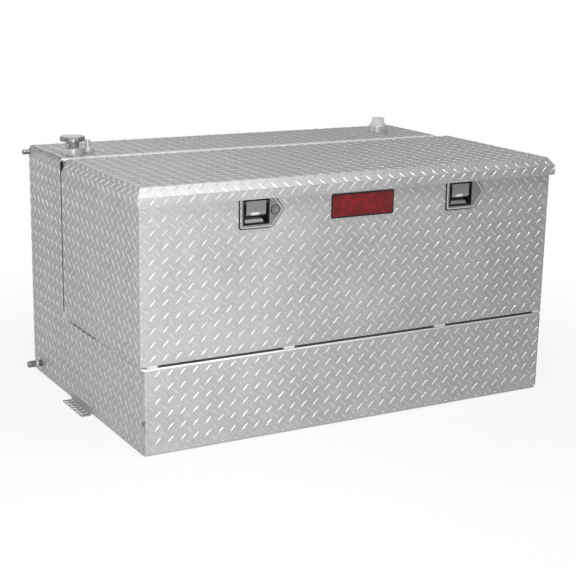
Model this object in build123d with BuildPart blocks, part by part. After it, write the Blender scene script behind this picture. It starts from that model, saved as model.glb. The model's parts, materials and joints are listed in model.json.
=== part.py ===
from build123d import *
import math
import os

# A truck-bed transfer tank with a toolbox seated in its step, in millimetres, Z up. The origin is the
# middle of the tank's underside, X runs along the tank, and the toolbox's front faces -Y.

# Tank shell, an L in side view: a low deck in front and a tall tower behind it
tank_length = 1219.0
tank_depth = 802.0
tank_height = 657.0
deck_height = 224.0
tower_depth = 262.0
tank_sheet = 3.2
tank_bend = 9.5
end_bevel = 8.5

# Baffles that part the tank into three
baffle_spacing = 406.0
baffle_sheet = 3.2
baffle_hole_r = 55.0
baffle_notch = 32.0

# Filler at the tower's left front corner
filler_from_end = 55.5
filler_from_step = 54.0
filler_bore_r = 15.5
filler_bung_r = 28.0
filler_bung_height = 19.0
bung_chamfer = 2.0
neck_wall = 2.5
neck_height = 21.0

# Filler cap and the ring that it seals on
cap_r = 33.5
cap_thickness = 9.5
cap_crown = 1.5
cap_edge_r = 5.0
cap_skirt_drop = 5.0
cap_skirt_wall = 3.5
cap_plug_wall = 3.0
cap_plug_depth = 9.0
cap_scallops = 12
cap_scallop_r = 4.5
cap_scallop_depth = 0.8
ring_thickness = 2.0
ring_gap = 0.3

# Vent beside the filler
vent_from_filler_x = 52.0
vent_from_filler_y = 24.0
vent_bung_r = 17.5
vent_bung_height = 14.0
vent_r = 8.2
vent_height = 21.0
vent_round = 3.0
vent_collar_r = 10.5
vent_collar_height = 3.0
vent_stem_depth = 11.0
vent_clearance = 0.1

# Pump opening at the tower's right end, closed by a screwed plug
pump_from_end = 132.5
pump_bung_r = 29.0
pump_bung_height = 22.0
pump_bore_r = 22.0
plug_brim_r = 24.5
plug_brim_height = 3.7
plug_head_r = 20.0
plug_head_height = 17.0
plug_head_taper = 2.0
plug_shank_depth = 17.0
plug_wall = 2.5
plug_ribs = 16
plug_rib_r = 1.4
washer_thickness = 1.0
screw_clearance = 0.4

# Two gauge ports on the left end, near the rear
gauge_low_from_rear = 74.0
gauge_low_z = 38.0
gauge_high_from_rear = 17.0
gauge_high_below_top = 15.8
gauge_collar_r = 9.5
gauge_hex_r = 9.5
gauge_tube_r = 7.2
gauge_bore_r = 4.5
gauge_cap_r = 9.6
gauge_cap_overlap = 2.0
gauge_cap_round = 4.5
gauge_groove_from = 10.0
gauge_groove_width = 1.5
gauge_groove_depth = 1.8

# Lengths of each gauge port's collar, hex, tube and cap, and how thick it is against the low one
gauge_lengths = {"low": (5.0, 9.0, 9.0, 23.0), "high": (3.0, 6.5, 5.0, 9.5)}
gauge_thickness = {"low": 1.0, "high": 0.75}

# Angle feet low on both ends
foot_length = 142.0
foot_y = 13.0
foot_height = 27.0
foot_width = 28.5
foot_sheet = 3.2
foot_bend = 5.0

# Toolbox body
box_length = 1224.0
box_setback = 9.0
box_height = 422.0
box_sheet = 2.5
box_bend = 4.5
rim_width = 20.0

# Lid: a pan with bevelled front and end edges and a rolled rear edge
lid_end_overhang = 8.7
lid_front_overhang = 12.6
lid_rise = 17.0
lid_sheet = 2.5
bevel_drop = 21.5
bevel_front = 17.6
bevel_end = 14.7
flange_drop = 24.5
roll_r = 58.0
roll_from_step = 68.0
roll_angle = 60.0
roll_lip_depth = 12.0

# Hat channel under the lid
channel_length = 1100.0
channel_from_hinge = 275.0
channel_web = 44.0
channel_height = 17.0
channel_flange = 16.0
channel_sheet = 1.6

# Rubber seal on the rim
seal_width = 9.0
seal_inset_front = 7.5
seal_inset_end = 8.5
seal_gap = 0.3
seal_round = 4.0

# Continuous hinge
hinge_margin = 20.0
hinge_knuckles = 17
knuckle_r = 4.5
knuckle_gap = 0.4
pin_r = 2.3
pin_clearance = 0.05
leaf_sheet = 2.0
leaf_width = 30.0
leaf_run = 8.0
leaf_gap = 0.8
leaf_arc = 30.0

# Paddle latches
latch_spacing = 614.0
latch_shift = 3.5
latch_below_rim = 60.2
plate_left = 44.5
plate_right = 43.9
plate_apex = 78.1
plate_height = 82.5
plate_sheet = 1.6
plate_corner = 5.0
plate_nose = 10.0
gasket_sheet = 1.2
gasket_inset = 1.0
recess_width = 64.0
recess_height = 60.0
recess_depth = 22.0
recess_corner = 4.0
recess_wall = 1.5
cutout_clearance = 0.5
paddle_width = 54.0
paddle_sheet = 2.2
paddle_inset = 0.8
paddle_drop = 33.0
paddle_lip = 8.0
paddle_lip_drop = 4.0
paddle_lip_r = 6.0
barrel_r = 3.5
barrel_below_top = 8.5
barrel_from_face = 4.8
trunnion_r = 2.5
trunnion_clearance = 0.06

# Latch bolt, its guide and the striker under the lid
guide_width = 18.0
guide_height = 14.0
guide_base_width = 40.0
guide_base_sheet = 2.0
guide_length = 20.0
bolt_width = 12.0
bolt_height = 8.0
bolt_clearance = 0.2
bolt_length = 14.5
bolt_reach = 3.0
bolt_nose = 4.0
striker_gap = 1.5
striker_sheet = 3.0
striker_width = 40.0
striker_foot = 16.0
striker_drop = 12.0
striker_window_margin = 2.0

# Key lock in the left latch
lock_offset = 51.5
bezel_r = 12.5
bezel_height = 2.5
bezel_chamfer = 0.8
lock_case_r = 9.5
lock_depth = 26.0
lock_plug_r = 6.5
lock_plug_proud = 0.6
lock_clearance = 0.05
key_slot_width = 1.4
key_slot_length = 8.0
key_slot_depth = 5.0
cam_gap = 0.3
cam_sheet = 2.0
cam_length = 15.0
cam_width = 9.0
cam_tail = 6.5

# Plain plate between the latches
panel_plate_width = 187.0
panel_plate_height = 63.0
panel_plate_sheet = 2.0
panel_plate_corner = 4.0
panel_plate_shift = 4.5
panel_plate_below_rim = 65.8

# Gas struts, one at each end of the toolbox
strut_inset = 34.0
strut_box_from_step = 79.0
strut_box_above_deck = 246.0
strut_reach = 190.0
strut_lid_below = 20.5
strut_tube_r = 9.0
strut_tube_wall = 1.5
strut_gland = 6.0
strut_tube_length = 184.0
strut_rod_r = 4.0
strut_piston_length = 10.0
strut_piston_clearance = 0.1
strut_slide_clearance = 0.08
strut_eye_r = 9.0
strut_eye_width = 10.0
strut_neck_r = 4.6
strut_neck_length = 15.0
strut_bottom_room = 12.0
strut_pin_r = 4.0
strut_post_r = 8.0
strut_base_r = 14.0
strut_base_thickness = 3.0
strut_side_gap = 0.5
strut_head_r = 6.0
strut_head_thickness = 2.0
strut_bracket_width = 30.0
strut_bracket_sheet = 3.0
strut_bracket_foot = 26.0
strut_bracket_margin = 12.0

# Stitch welds: from the middle on the front seam, and from the toolbox's front on the end seams
weld_r = 5.0
end_weld_r = 2.4
front_welds = [(-597.0, -568.0), (-221.0, -189.0), (243.0, 280.0), (580.0, 606.0)]
end_welds = [(0.0, 20.0), (132.0, 178.0), (238.0, 290.0), (476.0, 512.0)]

# Places worked out from the sizes above
end_x = tank_length / 2
seam_x = end_x - end_bevel
front_y = -tank_depth / 2
rear_y = tank_depth / 2
step_y = rear_y - tower_depth
box_end_x = box_length / 2
box_front_y = front_y + box_setback
rim_z = deck_height + box_height
lid_end_x = box_end_x + lid_end_overhang
lid_front_y = box_front_y - lid_front_overhang
lid_top_z = rim_z + lid_rise
lid_inner_z = lid_top_z - lid_sheet
bevel_z = lid_top_z - bevel_drop
lid_bottom_z = bevel_z - flange_drop
roll_y = step_y - roll_from_step
roll_z = lid_top_z - roll_r
roll_rad = math.radians(roll_angle)
leaf_outer_r = roll_r - lid_sheet
leaf_middle_r = leaf_outer_r - leaf_sheet / 2
leaf_end_y = roll_y + leaf_middle_r * math.sin(roll_rad) + leaf_run * math.cos(roll_rad)
leaf_end_z = roll_z + leaf_middle_r * math.cos(roll_rad) - leaf_run * math.sin(roll_rad)
knuckle_out = knuckle_r - leaf_sheet / 2
hinge_y = leaf_end_y + knuckle_out * math.sin(roll_rad)
hinge_z = leaf_end_z + knuckle_out * math.cos(roll_rad)
box_back_y = hinge_y + knuckle_r - leaf_sheet
box_back_z = hinge_z - knuckle_r - leaf_gap
filler_x = filler_from_end - end_x
filler_y = step_y + filler_from_step
vent_x = filler_x + vent_from_filler_x
vent_y = filler_y + vent_from_filler_y
pump_x = end_x - pump_from_end
pump_y = rear_y - tower_depth / 2
gauge_places = {
    "low": (rear_y - gauge_low_from_rear, gauge_low_z),
    "high": (rear_y - gauge_high_from_rear, tank_height - gauge_high_below_top),
}
latch_z = rim_z - latch_below_rim
latch_xs = {"left": latch_shift - latch_spacing / 2, "right": latch_shift + latch_spacing / 2}
panel_inner_y = box_front_y + box_sheet
plate_back_y = box_front_y - gasket_sheet
plate_face_y = plate_back_y - plate_sheet
barrel_y = plate_face_y + barrel_from_face
barrel_z = latch_z + recess_height / 2 - barrel_below_top
guide_z = latch_z + recess_height / 2 + recess_wall
bolt_z = guide_z + guide_base_sheet + guide_height / 2
guide_end_y = panel_inner_y + guide_length
bolt_tip_y = guide_end_y + bolt_reach
striker_y = bolt_tip_y + striker_gap
channel_y = hinge_y - channel_from_hinge
strut_box_y = step_y - strut_box_from_step
strut_box_z = deck_height + strut_box_above_deck
strut_lid_y = strut_box_y - strut_reach
strut_lid_z = lid_inner_z - strut_lid_below

os.makedirs("parts", exist_ok=True)


def tank_corners(inset, slope=0.0):
    """Corners of the tank's side view, from the lower front round to the deck's front.

    They are moved in by the inset. The slope moves the bottom, rear, top and front in further, but
    not the deck and the step, which stay square under and behind the toolbox.
    """
    edge = inset + slope
    return [
        (front_y + edge, edge),
        (rear_y - edge, edge),
        (rear_y - edge, tank_height - edge),
        (step_y + inset, tank_height - edge),
        (step_y + inset, deck_height - inset),
        (front_y + edge, deck_height - inset),
    ]


def tank_radii(inset, slope=0.0):
    """Bend radii at those corners: the two at the rear are welded seams and stay sharp."""
    outside = tank_bend - inset - slope
    return [outside, 0, 0, outside, tank_bend - tank_sheet + inset, outside]


def tank_outline(x, inset, slope):
    """The tank's side view, drawn in and standing across X at the given place."""
    with BuildSketch(Plane.YZ.offset(x)) as outline:
        with BuildLine():
            FilletPolyline(*tank_corners(inset, slope), radius=tank_radii(inset, slope), close=True)
        make_face()
    return outline.sketch


def write(part, name):
    """Labels a finished piece and writes its file."""
    part.label = name
    export_step(part, f"parts/{name}.step")


# Tank: bottom, front, deck, step and tower top are one folded sheet, open at the rear
with BuildPart() as tank_wrap:
    with BuildSketch(Plane.YZ):
        with BuildLine():
            FilletPolyline(*tank_corners(0), radius=tank_radii(0), close=True)
        make_face()
        with BuildLine():
            FilletPolyline(*tank_corners(tank_sheet), radius=tank_radii(tank_sheet), close=True)
        make_face(mode=Mode.SUBTRACT)
        with Locations((rear_y, tank_height / 2)):
            Rectangle(
                tank_sheet,
                tank_height - 2 * tank_sheet,
                align=(Align.MAX, Align.CENTER),
                mode=Mode.SUBTRACT,
            )
    extrude(amount=seam_x, both=True)
    for hole_x, hole_y, hole_r in (
        (filler_x, filler_y, filler_bore_r),
        (vent_x, vent_y, vent_r),
        (pump_x, pump_y, pump_bore_r),
    ):
        with Locations((hole_x, hole_y, tank_height)):
            Hole(hole_r, depth=2 * tank_sheet)
write(tank_wrap.part, "tank_wrap")

with BuildPart() as tank_rear:
    with BuildSketch(Plane.XZ.offset(-rear_y)):
        with Locations((0, tank_height / 2)):
            Rectangle(2 * seam_x, tank_height - 2 * tank_sheet)
    extrude(amount=tank_sheet)
write(tank_rear.part, "tank_rear")

# The L-shaped ends are pans whose edges slope back to the folded sheet
for side, sign in (("left", -1), ("right", 1)):
    with BuildPart() as tank_end:
        loft([tank_outline(sign * seam_x, 0, 0), tank_outline(sign * end_x, 0, end_bevel)], ruled=True)
        loft(
            [
                tank_outline(sign * seam_x, tank_sheet, 0),
                tank_outline(sign * (end_x - tank_sheet), tank_sheet, end_bevel - tank_sheet),
            ],
            ruled=True,
            mode=Mode.SUBTRACT,
        )
        if side == "left":
            for port_y, port_z in gauge_places.values():
                with Locations(Plane((-end_x, port_y, port_z), z_dir=(-1, 0, 0))):
                    Hole(gauge_bore_r, depth=2 * tank_sheet)
    write(tank_end.part, f"tank_end_{side}")

# Baffles with flow holes, notched where the tank drains and vents
for side, sign in (("left", -1), ("right", 1)):
    with BuildPart() as baffle:
        with BuildSketch(Plane.YZ.offset(sign * baffle_spacing / 2)):
            with BuildLine():
                Polyline(*tank_corners(tank_sheet), close=True)
            make_face()
            with Locations(*tank_corners(tank_sheet)):
                Rectangle(2 * baffle_notch, 2 * baffle_notch, rotation=45, mode=Mode.SUBTRACT)
            with Locations(
                ((front_y + step_y) / 2, deck_height / 2),
                (pump_y, deck_height / 2),
                (pump_y, (deck_height + tank_height) / 2),
            ):
                Circle(baffle_hole_r, mode=Mode.SUBTRACT)
        extrude(amount=baffle_sheet / 2, both=True)
    write(baffle.part, f"baffle_{side}")

# Filler: a weld-in bung with a neck on it
with BuildPart() as filler_bung:
    with Locations((filler_x, filler_y, tank_height)):
        Cylinder(filler_bung_r, filler_bung_height, align=(Align.CENTER, Align.CENTER, Align.MIN))
        Cylinder(
            filler_bore_r,
            filler_bung_height,
            align=(Align.CENTER, Align.CENTER, Align.MIN),
            mode=Mode.SUBTRACT,
        )
    chamfer(filler_bung.edges().group_by(Axis.Z)[-1].sort_by(SortBy.RADIUS)[-1], bung_chamfer)
write(filler_bung.part, "filler_bung")

neck_base_z = tank_height + filler_bung_height
neck_top_z = neck_base_z + neck_height
with BuildPart() as filler_neck:
    with BuildSketch(Plane((filler_x, filler_y, neck_base_z))):
        Circle(filler_bore_r + neck_wall)
        Circle(filler_bore_r, mode=Mode.SUBTRACT)
    extrude(amount=neck_height)
write(filler_neck.part, "filler_neck")

# Sealing ring under the cap, as wide as the neck's wall
with BuildPart() as filler_ring:
    with BuildSketch(Plane((filler_x, filler_y, neck_top_z))):
        Circle(filler_bore_r + neck_wall)
        Circle(filler_bore_r, mode=Mode.SUBTRACT)
    extrude(amount=ring_thickness)
write(filler_ring.part, "filler_ring")

# Cap: a crowned disc with a scalloped skirt round it and a hollow plug that enters the neck
cap_under_z = neck_top_z + ring_thickness + ring_gap
cap_plug_r = filler_bore_r - screw_clearance
with BuildPart() as filler_cap:
    with BuildSketch(Plane((filler_x, filler_y, cap_under_z), x_dir=(1, 0, 0), z_dir=(0, -1, 0))):
        with BuildLine():
            FilletPolyline(
                (0, 0),
                (cap_plug_r - cap_plug_wall, 0),
                (cap_plug_r - cap_plug_wall, -cap_plug_depth),
                (cap_plug_r, -cap_plug_depth),
                (cap_plug_r, 0),
                (cap_r - cap_skirt_wall, 0),
                (cap_r - cap_skirt_wall, -cap_skirt_drop),
                (cap_r, -cap_skirt_drop),
                (cap_r, cap_thickness - cap_crown),
                (0, cap_thickness),
                radius=[0, 0, 0, 0, 0, 0, 0, 0, cap_edge_r, 0],
                close=True,
            )
        make_face()
    revolve(axis=Axis((filler_x, filler_y, 0), (0, 0, 1)))
    with BuildSketch(Plane((filler_x, filler_y, cap_under_z - cap_skirt_drop))):
        with PolarLocations(cap_r + cap_scallop_r - cap_scallop_depth, cap_scallops):
            Circle(cap_scallop_r)
    extrude(amount=cap_skirt_drop + cap_thickness, mode=Mode.SUBTRACT)
write(filler_cap.part, "filler_cap")

# Vent: a small bung and the roll-over vent screwed into it
vent_base_z = tank_height + vent_bung_height
with BuildPart() as vent_bung:
    with BuildSketch(Plane((vent_x, vent_y, tank_height))):
        Circle(vent_bung_r)
        Circle(vent_r, mode=Mode.SUBTRACT)
    extrude(amount=vent_bung_height)
    chamfer(vent_bung.edges().group_by(Axis.Z)[-1].sort_by(SortBy.RADIUS)[-1], bung_chamfer)
write(vent_bung.part, "vent_bung")

with BuildPart() as vent_valve:
    with Locations((vent_x, vent_y, vent_base_z)):
        Cylinder(vent_collar_r, vent_collar_height, align=(Align.CENTER, Align.CENTER, Align.MIN))
    with Locations((vent_x, vent_y, vent_base_z - vent_stem_depth)):
        Cylinder(
            vent_r - vent_clearance,
            vent_stem_depth + vent_height,
            align=(Align.CENTER, Align.CENTER, Align.MIN),
        )
    fillet(vent_valve.edges().group_by(Axis.Z)[-1], vent_round)
write(vent_valve.part, "vent_valve")

# Pump opening: a wide bung, a washer and a screwed plug with a ribbed head
pump_top_z = tank_height + pump_bung_height
with BuildPart() as pump_bung:
    with BuildSketch(Plane((pump_x, pump_y, tank_height))):
        Circle(pump_bung_r)
        Circle(pump_bore_r, mode=Mode.SUBTRACT)
    extrude(amount=pump_bung_height)
    chamfer(pump_bung.edges().group_by(Axis.Z)[-1].sort_by(SortBy.RADIUS)[-1], bung_chamfer)
write(pump_bung.part, "pump_bung")

with BuildPart() as pump_washer:
    with BuildSketch(Plane((pump_x, pump_y, pump_top_z))):
        Circle(plug_brim_r)
        Circle(pump_bore_r, mode=Mode.SUBTRACT)
    extrude(amount=washer_thickness)
write(pump_washer.part, "pump_washer")

brim_z = pump_top_z + washer_thickness + ring_gap
head_z = brim_z + plug_brim_height
with BuildPart() as pump_plug:
    with BuildSketch(Plane((pump_x, pump_y, brim_z))):
        Circle(plug_brim_r)
    extrude(amount=plug_brim_height)
    with BuildSketch(Plane((pump_x, pump_y, brim_z))):
        Circle(pump_bore_r - screw_clearance)
    extrude(amount=-plug_shank_depth)
    with BuildSketch(Plane((pump_x, pump_y, head_z))):
        Circle(plug_head_r)
        with PolarLocations(plug_head_r, plug_ribs):
            Circle(plug_rib_r, mode=Mode.SUBTRACT)
    extrude(amount=plug_head_height, taper=plug_head_taper)
    with BuildSketch(Plane((pump_x, pump_y, brim_z - plug_shank_depth))):
        Circle(pump_bore_r - screw_clearance - plug_wall)
    extrude(amount=plug_shank_depth, mode=Mode.SUBTRACT)
write(pump_plug.part, "pump_plug")

# Gauge ports: a collar welded to the end, a hex and a tube, closed by a round cap
for name, (port_y, port_z) in gauge_places.items():
    collar_length, hex_length, tube_length, cap_length = gauge_lengths[name]
    wide = gauge_thickness[name]
    port_plane = Plane((-end_x, port_y, port_z), x_dir=(0, 1, 0), z_dir=(-1, 0, 0))
    tube_from = collar_length + hex_length
    tube_to = tube_from + tube_length
    with BuildPart() as gauge_port:
        with BuildSketch(port_plane):
            Circle(wide * gauge_collar_r)
        extrude(amount=collar_length)
        with BuildSketch(port_plane.offset(collar_length)):
            RegularPolygon(wide * gauge_hex_r, 6)
        extrude(amount=hex_length)
        with BuildSketch(port_plane.offset(tube_from)):
            Circle(wide * gauge_tube_r)
        extrude(amount=tube_length)
        with BuildSketch(port_plane):
            Circle(wide * gauge_bore_r)
        extrude(amount=tube_to, mode=Mode.SUBTRACT)
    write(gauge_port.part, f"gauge_port_{name}")
    cap_plane = port_plane.offset(tube_to - gauge_cap_overlap)
    with BuildPart() as gauge_cap:
        with BuildSketch(cap_plane):
            Circle(wide * gauge_cap_r)
        extrude(amount=cap_length)
        fillet(gauge_cap.edges().sort_by(Axis.X)[0], wide * gauge_cap_round)
        with BuildSketch(cap_plane):
            Circle(wide * gauge_tube_r)
        extrude(amount=gauge_cap_overlap, mode=Mode.SUBTRACT)
        if name == "low":
            with BuildSketch(cap_plane.offset(gauge_groove_from)):
                Circle(gauge_cap_r)
                Circle(gauge_cap_r - gauge_groove_depth, mode=Mode.SUBTRACT)
            extrude(amount=gauge_groove_width, mode=Mode.SUBTRACT)
    write(gauge_cap.part, f"gauge_cap_{name}")

# Feet: a short angle welded low on each end
for side, sign in (("left", -1), ("right", 1)):
    with BuildPart() as foot:
        with BuildSketch(Plane.XZ.offset(-foot_y)):
            with BuildLine():
                FilletPolyline(
                    (sign * end_x, foot_height),
                    (sign * end_x, 0),
                    (sign * (end_x + foot_width), 0),
                    (sign * (end_x + foot_width), foot_sheet),
                    (sign * (end_x + foot_sheet), foot_sheet),
                    (sign * (end_x + foot_sheet), foot_height),
                    radius=[0, foot_bend, 0, 0, foot_bend - foot_sheet, 0],
                    close=True,
                )
            make_face()
        extrude(amount=foot_length / 2, both=True)
    write(foot.part, f"foot_{side}")


def box_wrap_section():
    """Outline of the toolbox's folded sheet in side view: rim, front, floor and back."""
    inner = box_bend - box_sheet
    FilletPolyline(
        (box_front_y + rim_width, rim_z),
        (box_front_y, rim_z),
        (box_front_y, deck_height),
        (box_back_y, deck_height),
        (box_back_y, box_back_z),
        (box_back_y - box_sheet, box_back_z),
        (box_back_y - box_sheet, deck_height + box_sheet),
        (panel_inner_y, deck_height + box_sheet),
        (panel_inner_y, rim_z - box_sheet),
        (box_front_y + rim_width, rim_z - box_sheet),
        radius=[0, box_bend, box_bend, box_bend, 0, 0, inner, inner, inner, 0],
        close=True,
    )


def latch_plate_outline(shrink):
    """Outline of a latch's face plate about the middle of its recess, drawn in by the shrink."""
    half = plate_height / 2 - shrink
    slope = math.atan2(plate_height / 2, plate_apex - plate_right)
    apex_share = 1 / math.sin(slope)
    shoulder_share = math.tan(slope / 2)
    FilletPolyline(
        (-plate_left + shrink, -half),
        (plate_right - shrink * shoulder_share, -half),
        (plate_apex - shrink * apex_share, 0),
        (plate_right - shrink * shoulder_share, half),
        (-plate_left + shrink, half),
        radius=[plate_corner, plate_corner, plate_nose, plate_corner, plate_corner],
        close=True,
    )


# Toolbox: the folded sheet with its two latch cut-outs
with BuildPart() as toolbox_wrap:
    with BuildSketch(Plane.YZ):
        with BuildLine():
            box_wrap_section()
        make_face()
    extrude(amount=box_end_x, both=True)
    for side, latch_x in latch_xs.items():
        with BuildSketch(Plane((latch_x, box_front_y, latch_z), x_dir=(1, 0, 0), z_dir=(0, -1, 0))):
            hole = 2 * (recess_wall + cutout_clearance)
            RectangleRounded(recess_width + hole, recess_height + hole, recess_corner)
            if side == "left":
                with Locations((lock_offset, 0)):
                    Circle(lock_case_r + cutout_clearance)
        extrude(amount=-box_sheet, mode=Mode.SUBTRACT)
write(toolbox_wrap.part, "toolbox_wrap")

# Toolbox ends: the top follows the lid's roll and carries a turned-in rim
rim_inner_y = box_front_y + rim_width
end_roll_r = roll_r - lid_rise
end_roll_angle = math.acos((box_back_z - roll_z) / end_roll_r)
end_roll_y = roll_y + end_roll_r * math.sin(end_roll_angle)
for side, sign in (("left", -1), ("right", 1)):
    with BuildPart() as toolbox_end:
        with BuildSketch(Plane.YZ.offset(sign * box_end_x)):
            inner = box_bend - box_sheet
            with BuildLine():
                FilletPolyline(
                    (end_roll_y, box_back_z),
                    (box_back_y - box_sheet, box_back_z),
                    (box_back_y - box_sheet, deck_height + box_sheet),
                    (panel_inner_y, deck_height + box_sheet),
                    (panel_inner_y, rim_z - box_sheet),
                    (rim_inner_y, rim_z - box_sheet),
                    (rim_inner_y, rim_z),
                    (roll_y, rim_z),
                    radius=[0, inner, inner, inner, 0, 0],
                )
                CenterArc(
                    (roll_y, roll_z),
                    end_roll_r,
                    90 - math.degrees(end_roll_angle),
                    math.degrees(end_roll_angle),
                )
            make_face()
        extrude(amount=-sign * box_sheet)
        with BuildSketch(Plane.XY.offset(rim_z)):
            with Locations((sign * box_end_x, rim_inner_y)):
                Rectangle(
                    rim_width,
                    roll_y - rim_inner_y,
                    align=(Align.MIN if sign < 0 else Align.MAX, Align.MIN),
                )
        extrude(amount=-box_sheet)
    write(toolbox_end.part, f"toolbox_end_{side}")

# Rubber seal round the front and ends of the rim
seal_front_y = box_front_y + seal_inset_front
seal_end_x = box_end_x - seal_inset_end
with BuildPart() as rim_seal:
    with BuildSketch(Plane.XY.offset(rim_z)):
        with Locations((0, seal_front_y)):
            Rectangle(2 * seal_end_x, roll_y - seal_front_y, align=(Align.CENTER, Align.MIN))
        with Locations((0, seal_front_y + seal_width)):
            Rectangle(
                2 * (seal_end_x - seal_width),
                roll_y - seal_front_y,
                align=(Align.CENTER, Align.MIN),
                mode=Mode.SUBTRACT,
            )
    extrude(amount=lid_rise - lid_sheet - seal_gap)
    fillet(rim_seal.edges().group_by(Axis.Z)[-1].sort_by(Axis.Y)[:-2], seal_round)
write(rim_seal.part, "rim_seal")

# Stitch welds along the toolbox's foot, on the front and under both ends
with BuildPart() as front_weld_beads:
    for start, stop in front_welds:
        with BuildSketch(Plane.YZ.offset(start)):
            with Locations((box_front_y, deck_height)):
                Circle(weld_r)
            with BuildLine():
                box_wrap_section()
            make_face(mode=Mode.SUBTRACT)
            with Locations((box_front_y, deck_height)):
                Rectangle(
                    4 * weld_r,
                    2 * weld_r,
                    align=(Align.CENTER, Align.MAX),
                    mode=Mode.SUBTRACT,
                )
                Rectangle(
                    2 * weld_r,
                    4 * weld_r,
                    align=(Align.MIN, Align.CENTER),
                    mode=Mode.SUBTRACT,
                )
        extrude(amount=stop - start)
write(front_weld_beads.part, "front_weld_beads")

with BuildPart() as end_weld_beads:
    for sign in (-1, 1):
        for start, stop in end_welds:
            with BuildSketch(Plane.XZ.offset(-(box_front_y + start))):
                with Locations((sign * end_x, deck_height)):
                    Circle(end_weld_r)
                    Rectangle(
                        2 * end_weld_r,
                        2 * end_weld_r,
                        align=(Align.MAX if sign > 0 else Align.MIN, Align.CENTER),
                        mode=Mode.SUBTRACT,
                    )
                    Rectangle(
                        4 * end_weld_r,
                        2 * end_weld_r,
                        align=(Align.CENTER, Align.MIN),
                        mode=Mode.SUBTRACT,
                    )
            extrude(amount=start - stop)
write(end_weld_beads.part, "end_weld_beads")

# Lid skin: a closed form with bevelled ends, opened below and behind
with BuildPart() as lid_skin:
    with BuildSketch(Plane.YZ):
        with BuildLine():
            roll = CenterArc((roll_y, roll_z), roll_r, 90 - roll_angle, roll_angle)
            roll_lip = (
                roll_y + (roll_r - roll_lip_depth) * math.sin(roll_rad),
                roll_z + (roll_r - roll_lip_depth) * math.cos(roll_rad),
            )
            Polyline(
                roll @ 1,
                (lid_front_y + bevel_front, lid_top_z),
                (lid_front_y, bevel_z),
                (lid_front_y, lid_bottom_z),
                (roll_lip[0], lid_bottom_z),
                roll_lip,
                roll @ 0,
            )
        make_face()
    extrude(amount=lid_end_x, both=True)
    for sign in (-1, 1):
        end_face = lid_skin.faces().sort_by(Axis.X)[-1 if sign > 0 else 0]
        top_edges = end_face.edges().sort_by(Axis.Z)[-2:]
        chamfer(top_edges, bevel_drop, bevel_end, reference=end_face)
    bottom = lid_skin.faces().sort_by(Axis.Z)[0]
    behind = lid_skin.faces().filter_by(GeomType.PLANE).sort_by(Axis.Y)[-2:]
    offset(amount=-lid_sheet, openings=[bottom, *behind], kind=Kind.INTERSECTION)
write(lid_skin.part, "lid_skin")

# Hat channel that stiffens the lid
with BuildPart() as lid_channel:
    with BuildSketch(Plane.YZ):
        half = channel_web / 2
        low = lid_inner_z - channel_height
        with BuildLine():
            Polyline(
                (channel_y - half - channel_flange, lid_inner_z),
                (channel_y - half - channel_flange, lid_inner_z - channel_sheet),
                (channel_y - half, lid_inner_z - channel_sheet),
                (channel_y - half, low),
                (channel_y + half, low),
                (channel_y + half, lid_inner_z - channel_sheet),
                (channel_y + half + channel_flange, lid_inner_z - channel_sheet),
                (channel_y + half + channel_flange, lid_inner_z),
                (channel_y + half - channel_sheet, lid_inner_z),
                (channel_y + half - channel_sheet, low + channel_sheet),
                (channel_y - half + channel_sheet, low + channel_sheet),
                (channel_y - half + channel_sheet, lid_inner_z),
                close=True,
            )
        make_face()
    extrude(amount=channel_length / 2, both=True)
write(lid_channel.part, "lid_channel")

# Continuous hinge: even knuckles belong to the toolbox, odd ones to the lid
hinge_length = box_length - 2 * hinge_margin
knuckle_pitch = hinge_length / hinge_knuckles
hinge_start = -hinge_length / 2
knuckle_bore_r = pin_r + pin_clearance
hinge_plane = Plane.YZ.offset(hinge_start)

with BuildPart() as hinge_leaf_box:
    with BuildSketch(hinge_plane):
        with Locations((box_back_y, box_back_z)):
            Rectangle(leaf_sheet, leaf_width, align=(Align.MIN, Align.MAX))
    extrude(amount=hinge_length)
    for index in range(0, hinge_knuckles, 2):
        with BuildSketch(hinge_plane.offset(index * knuckle_pitch + knuckle_gap / 2)):
            with Locations((hinge_y, hinge_z)):
                Circle(knuckle_r)
            with Locations((box_back_y, box_back_z)):
                Rectangle(leaf_sheet, hinge_z - box_back_z, align=(Align.MIN, Align.MIN))
            with Locations((hinge_y, hinge_z)):
                Circle(knuckle_bore_r, mode=Mode.SUBTRACT)
        extrude(amount=knuckle_pitch - knuckle_gap)
write(hinge_leaf_box.part, "hinge_leaf_box")

with BuildPart() as hinge_leaf_lid:
    with BuildSketch(hinge_plane):
        with BuildLine():
            outer_arc = CenterArc((roll_y, roll_z), leaf_outer_r, 90 - roll_angle, leaf_arc)
            inner_arc = CenterArc((roll_y, roll_z), leaf_outer_r - leaf_sheet, 90 - roll_angle, leaf_arc)
            Line(outer_arc @ 0, inner_arc @ 0)
            Line(outer_arc @ 1, inner_arc @ 1)
        make_face()
    extrude(amount=hinge_length)
    for index in range(1, hinge_knuckles, 2):
        with BuildSketch(hinge_plane.offset(index * knuckle_pitch + knuckle_gap / 2)):
            with Locations((hinge_y, hinge_z)):
                Circle(knuckle_r)
            with Locations(Location((leaf_end_y, leaf_end_z), 180 - roll_angle)):
                Rectangle(leaf_run, leaf_sheet, align=(Align.MIN, Align.CENTER))
            with Locations((hinge_y, hinge_z)):
                Circle(knuckle_bore_r, mode=Mode.SUBTRACT)
        extrude(amount=knuckle_pitch - knuckle_gap)
write(hinge_leaf_lid.part, "hinge_leaf_lid")

with BuildPart() as hinge_pin:
    with BuildSketch(hinge_plane):
        with Locations((hinge_y, hinge_z)):
            Circle(pin_r)
    extrude(amount=hinge_length)
write(hinge_pin.part, "hinge_pin")

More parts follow.
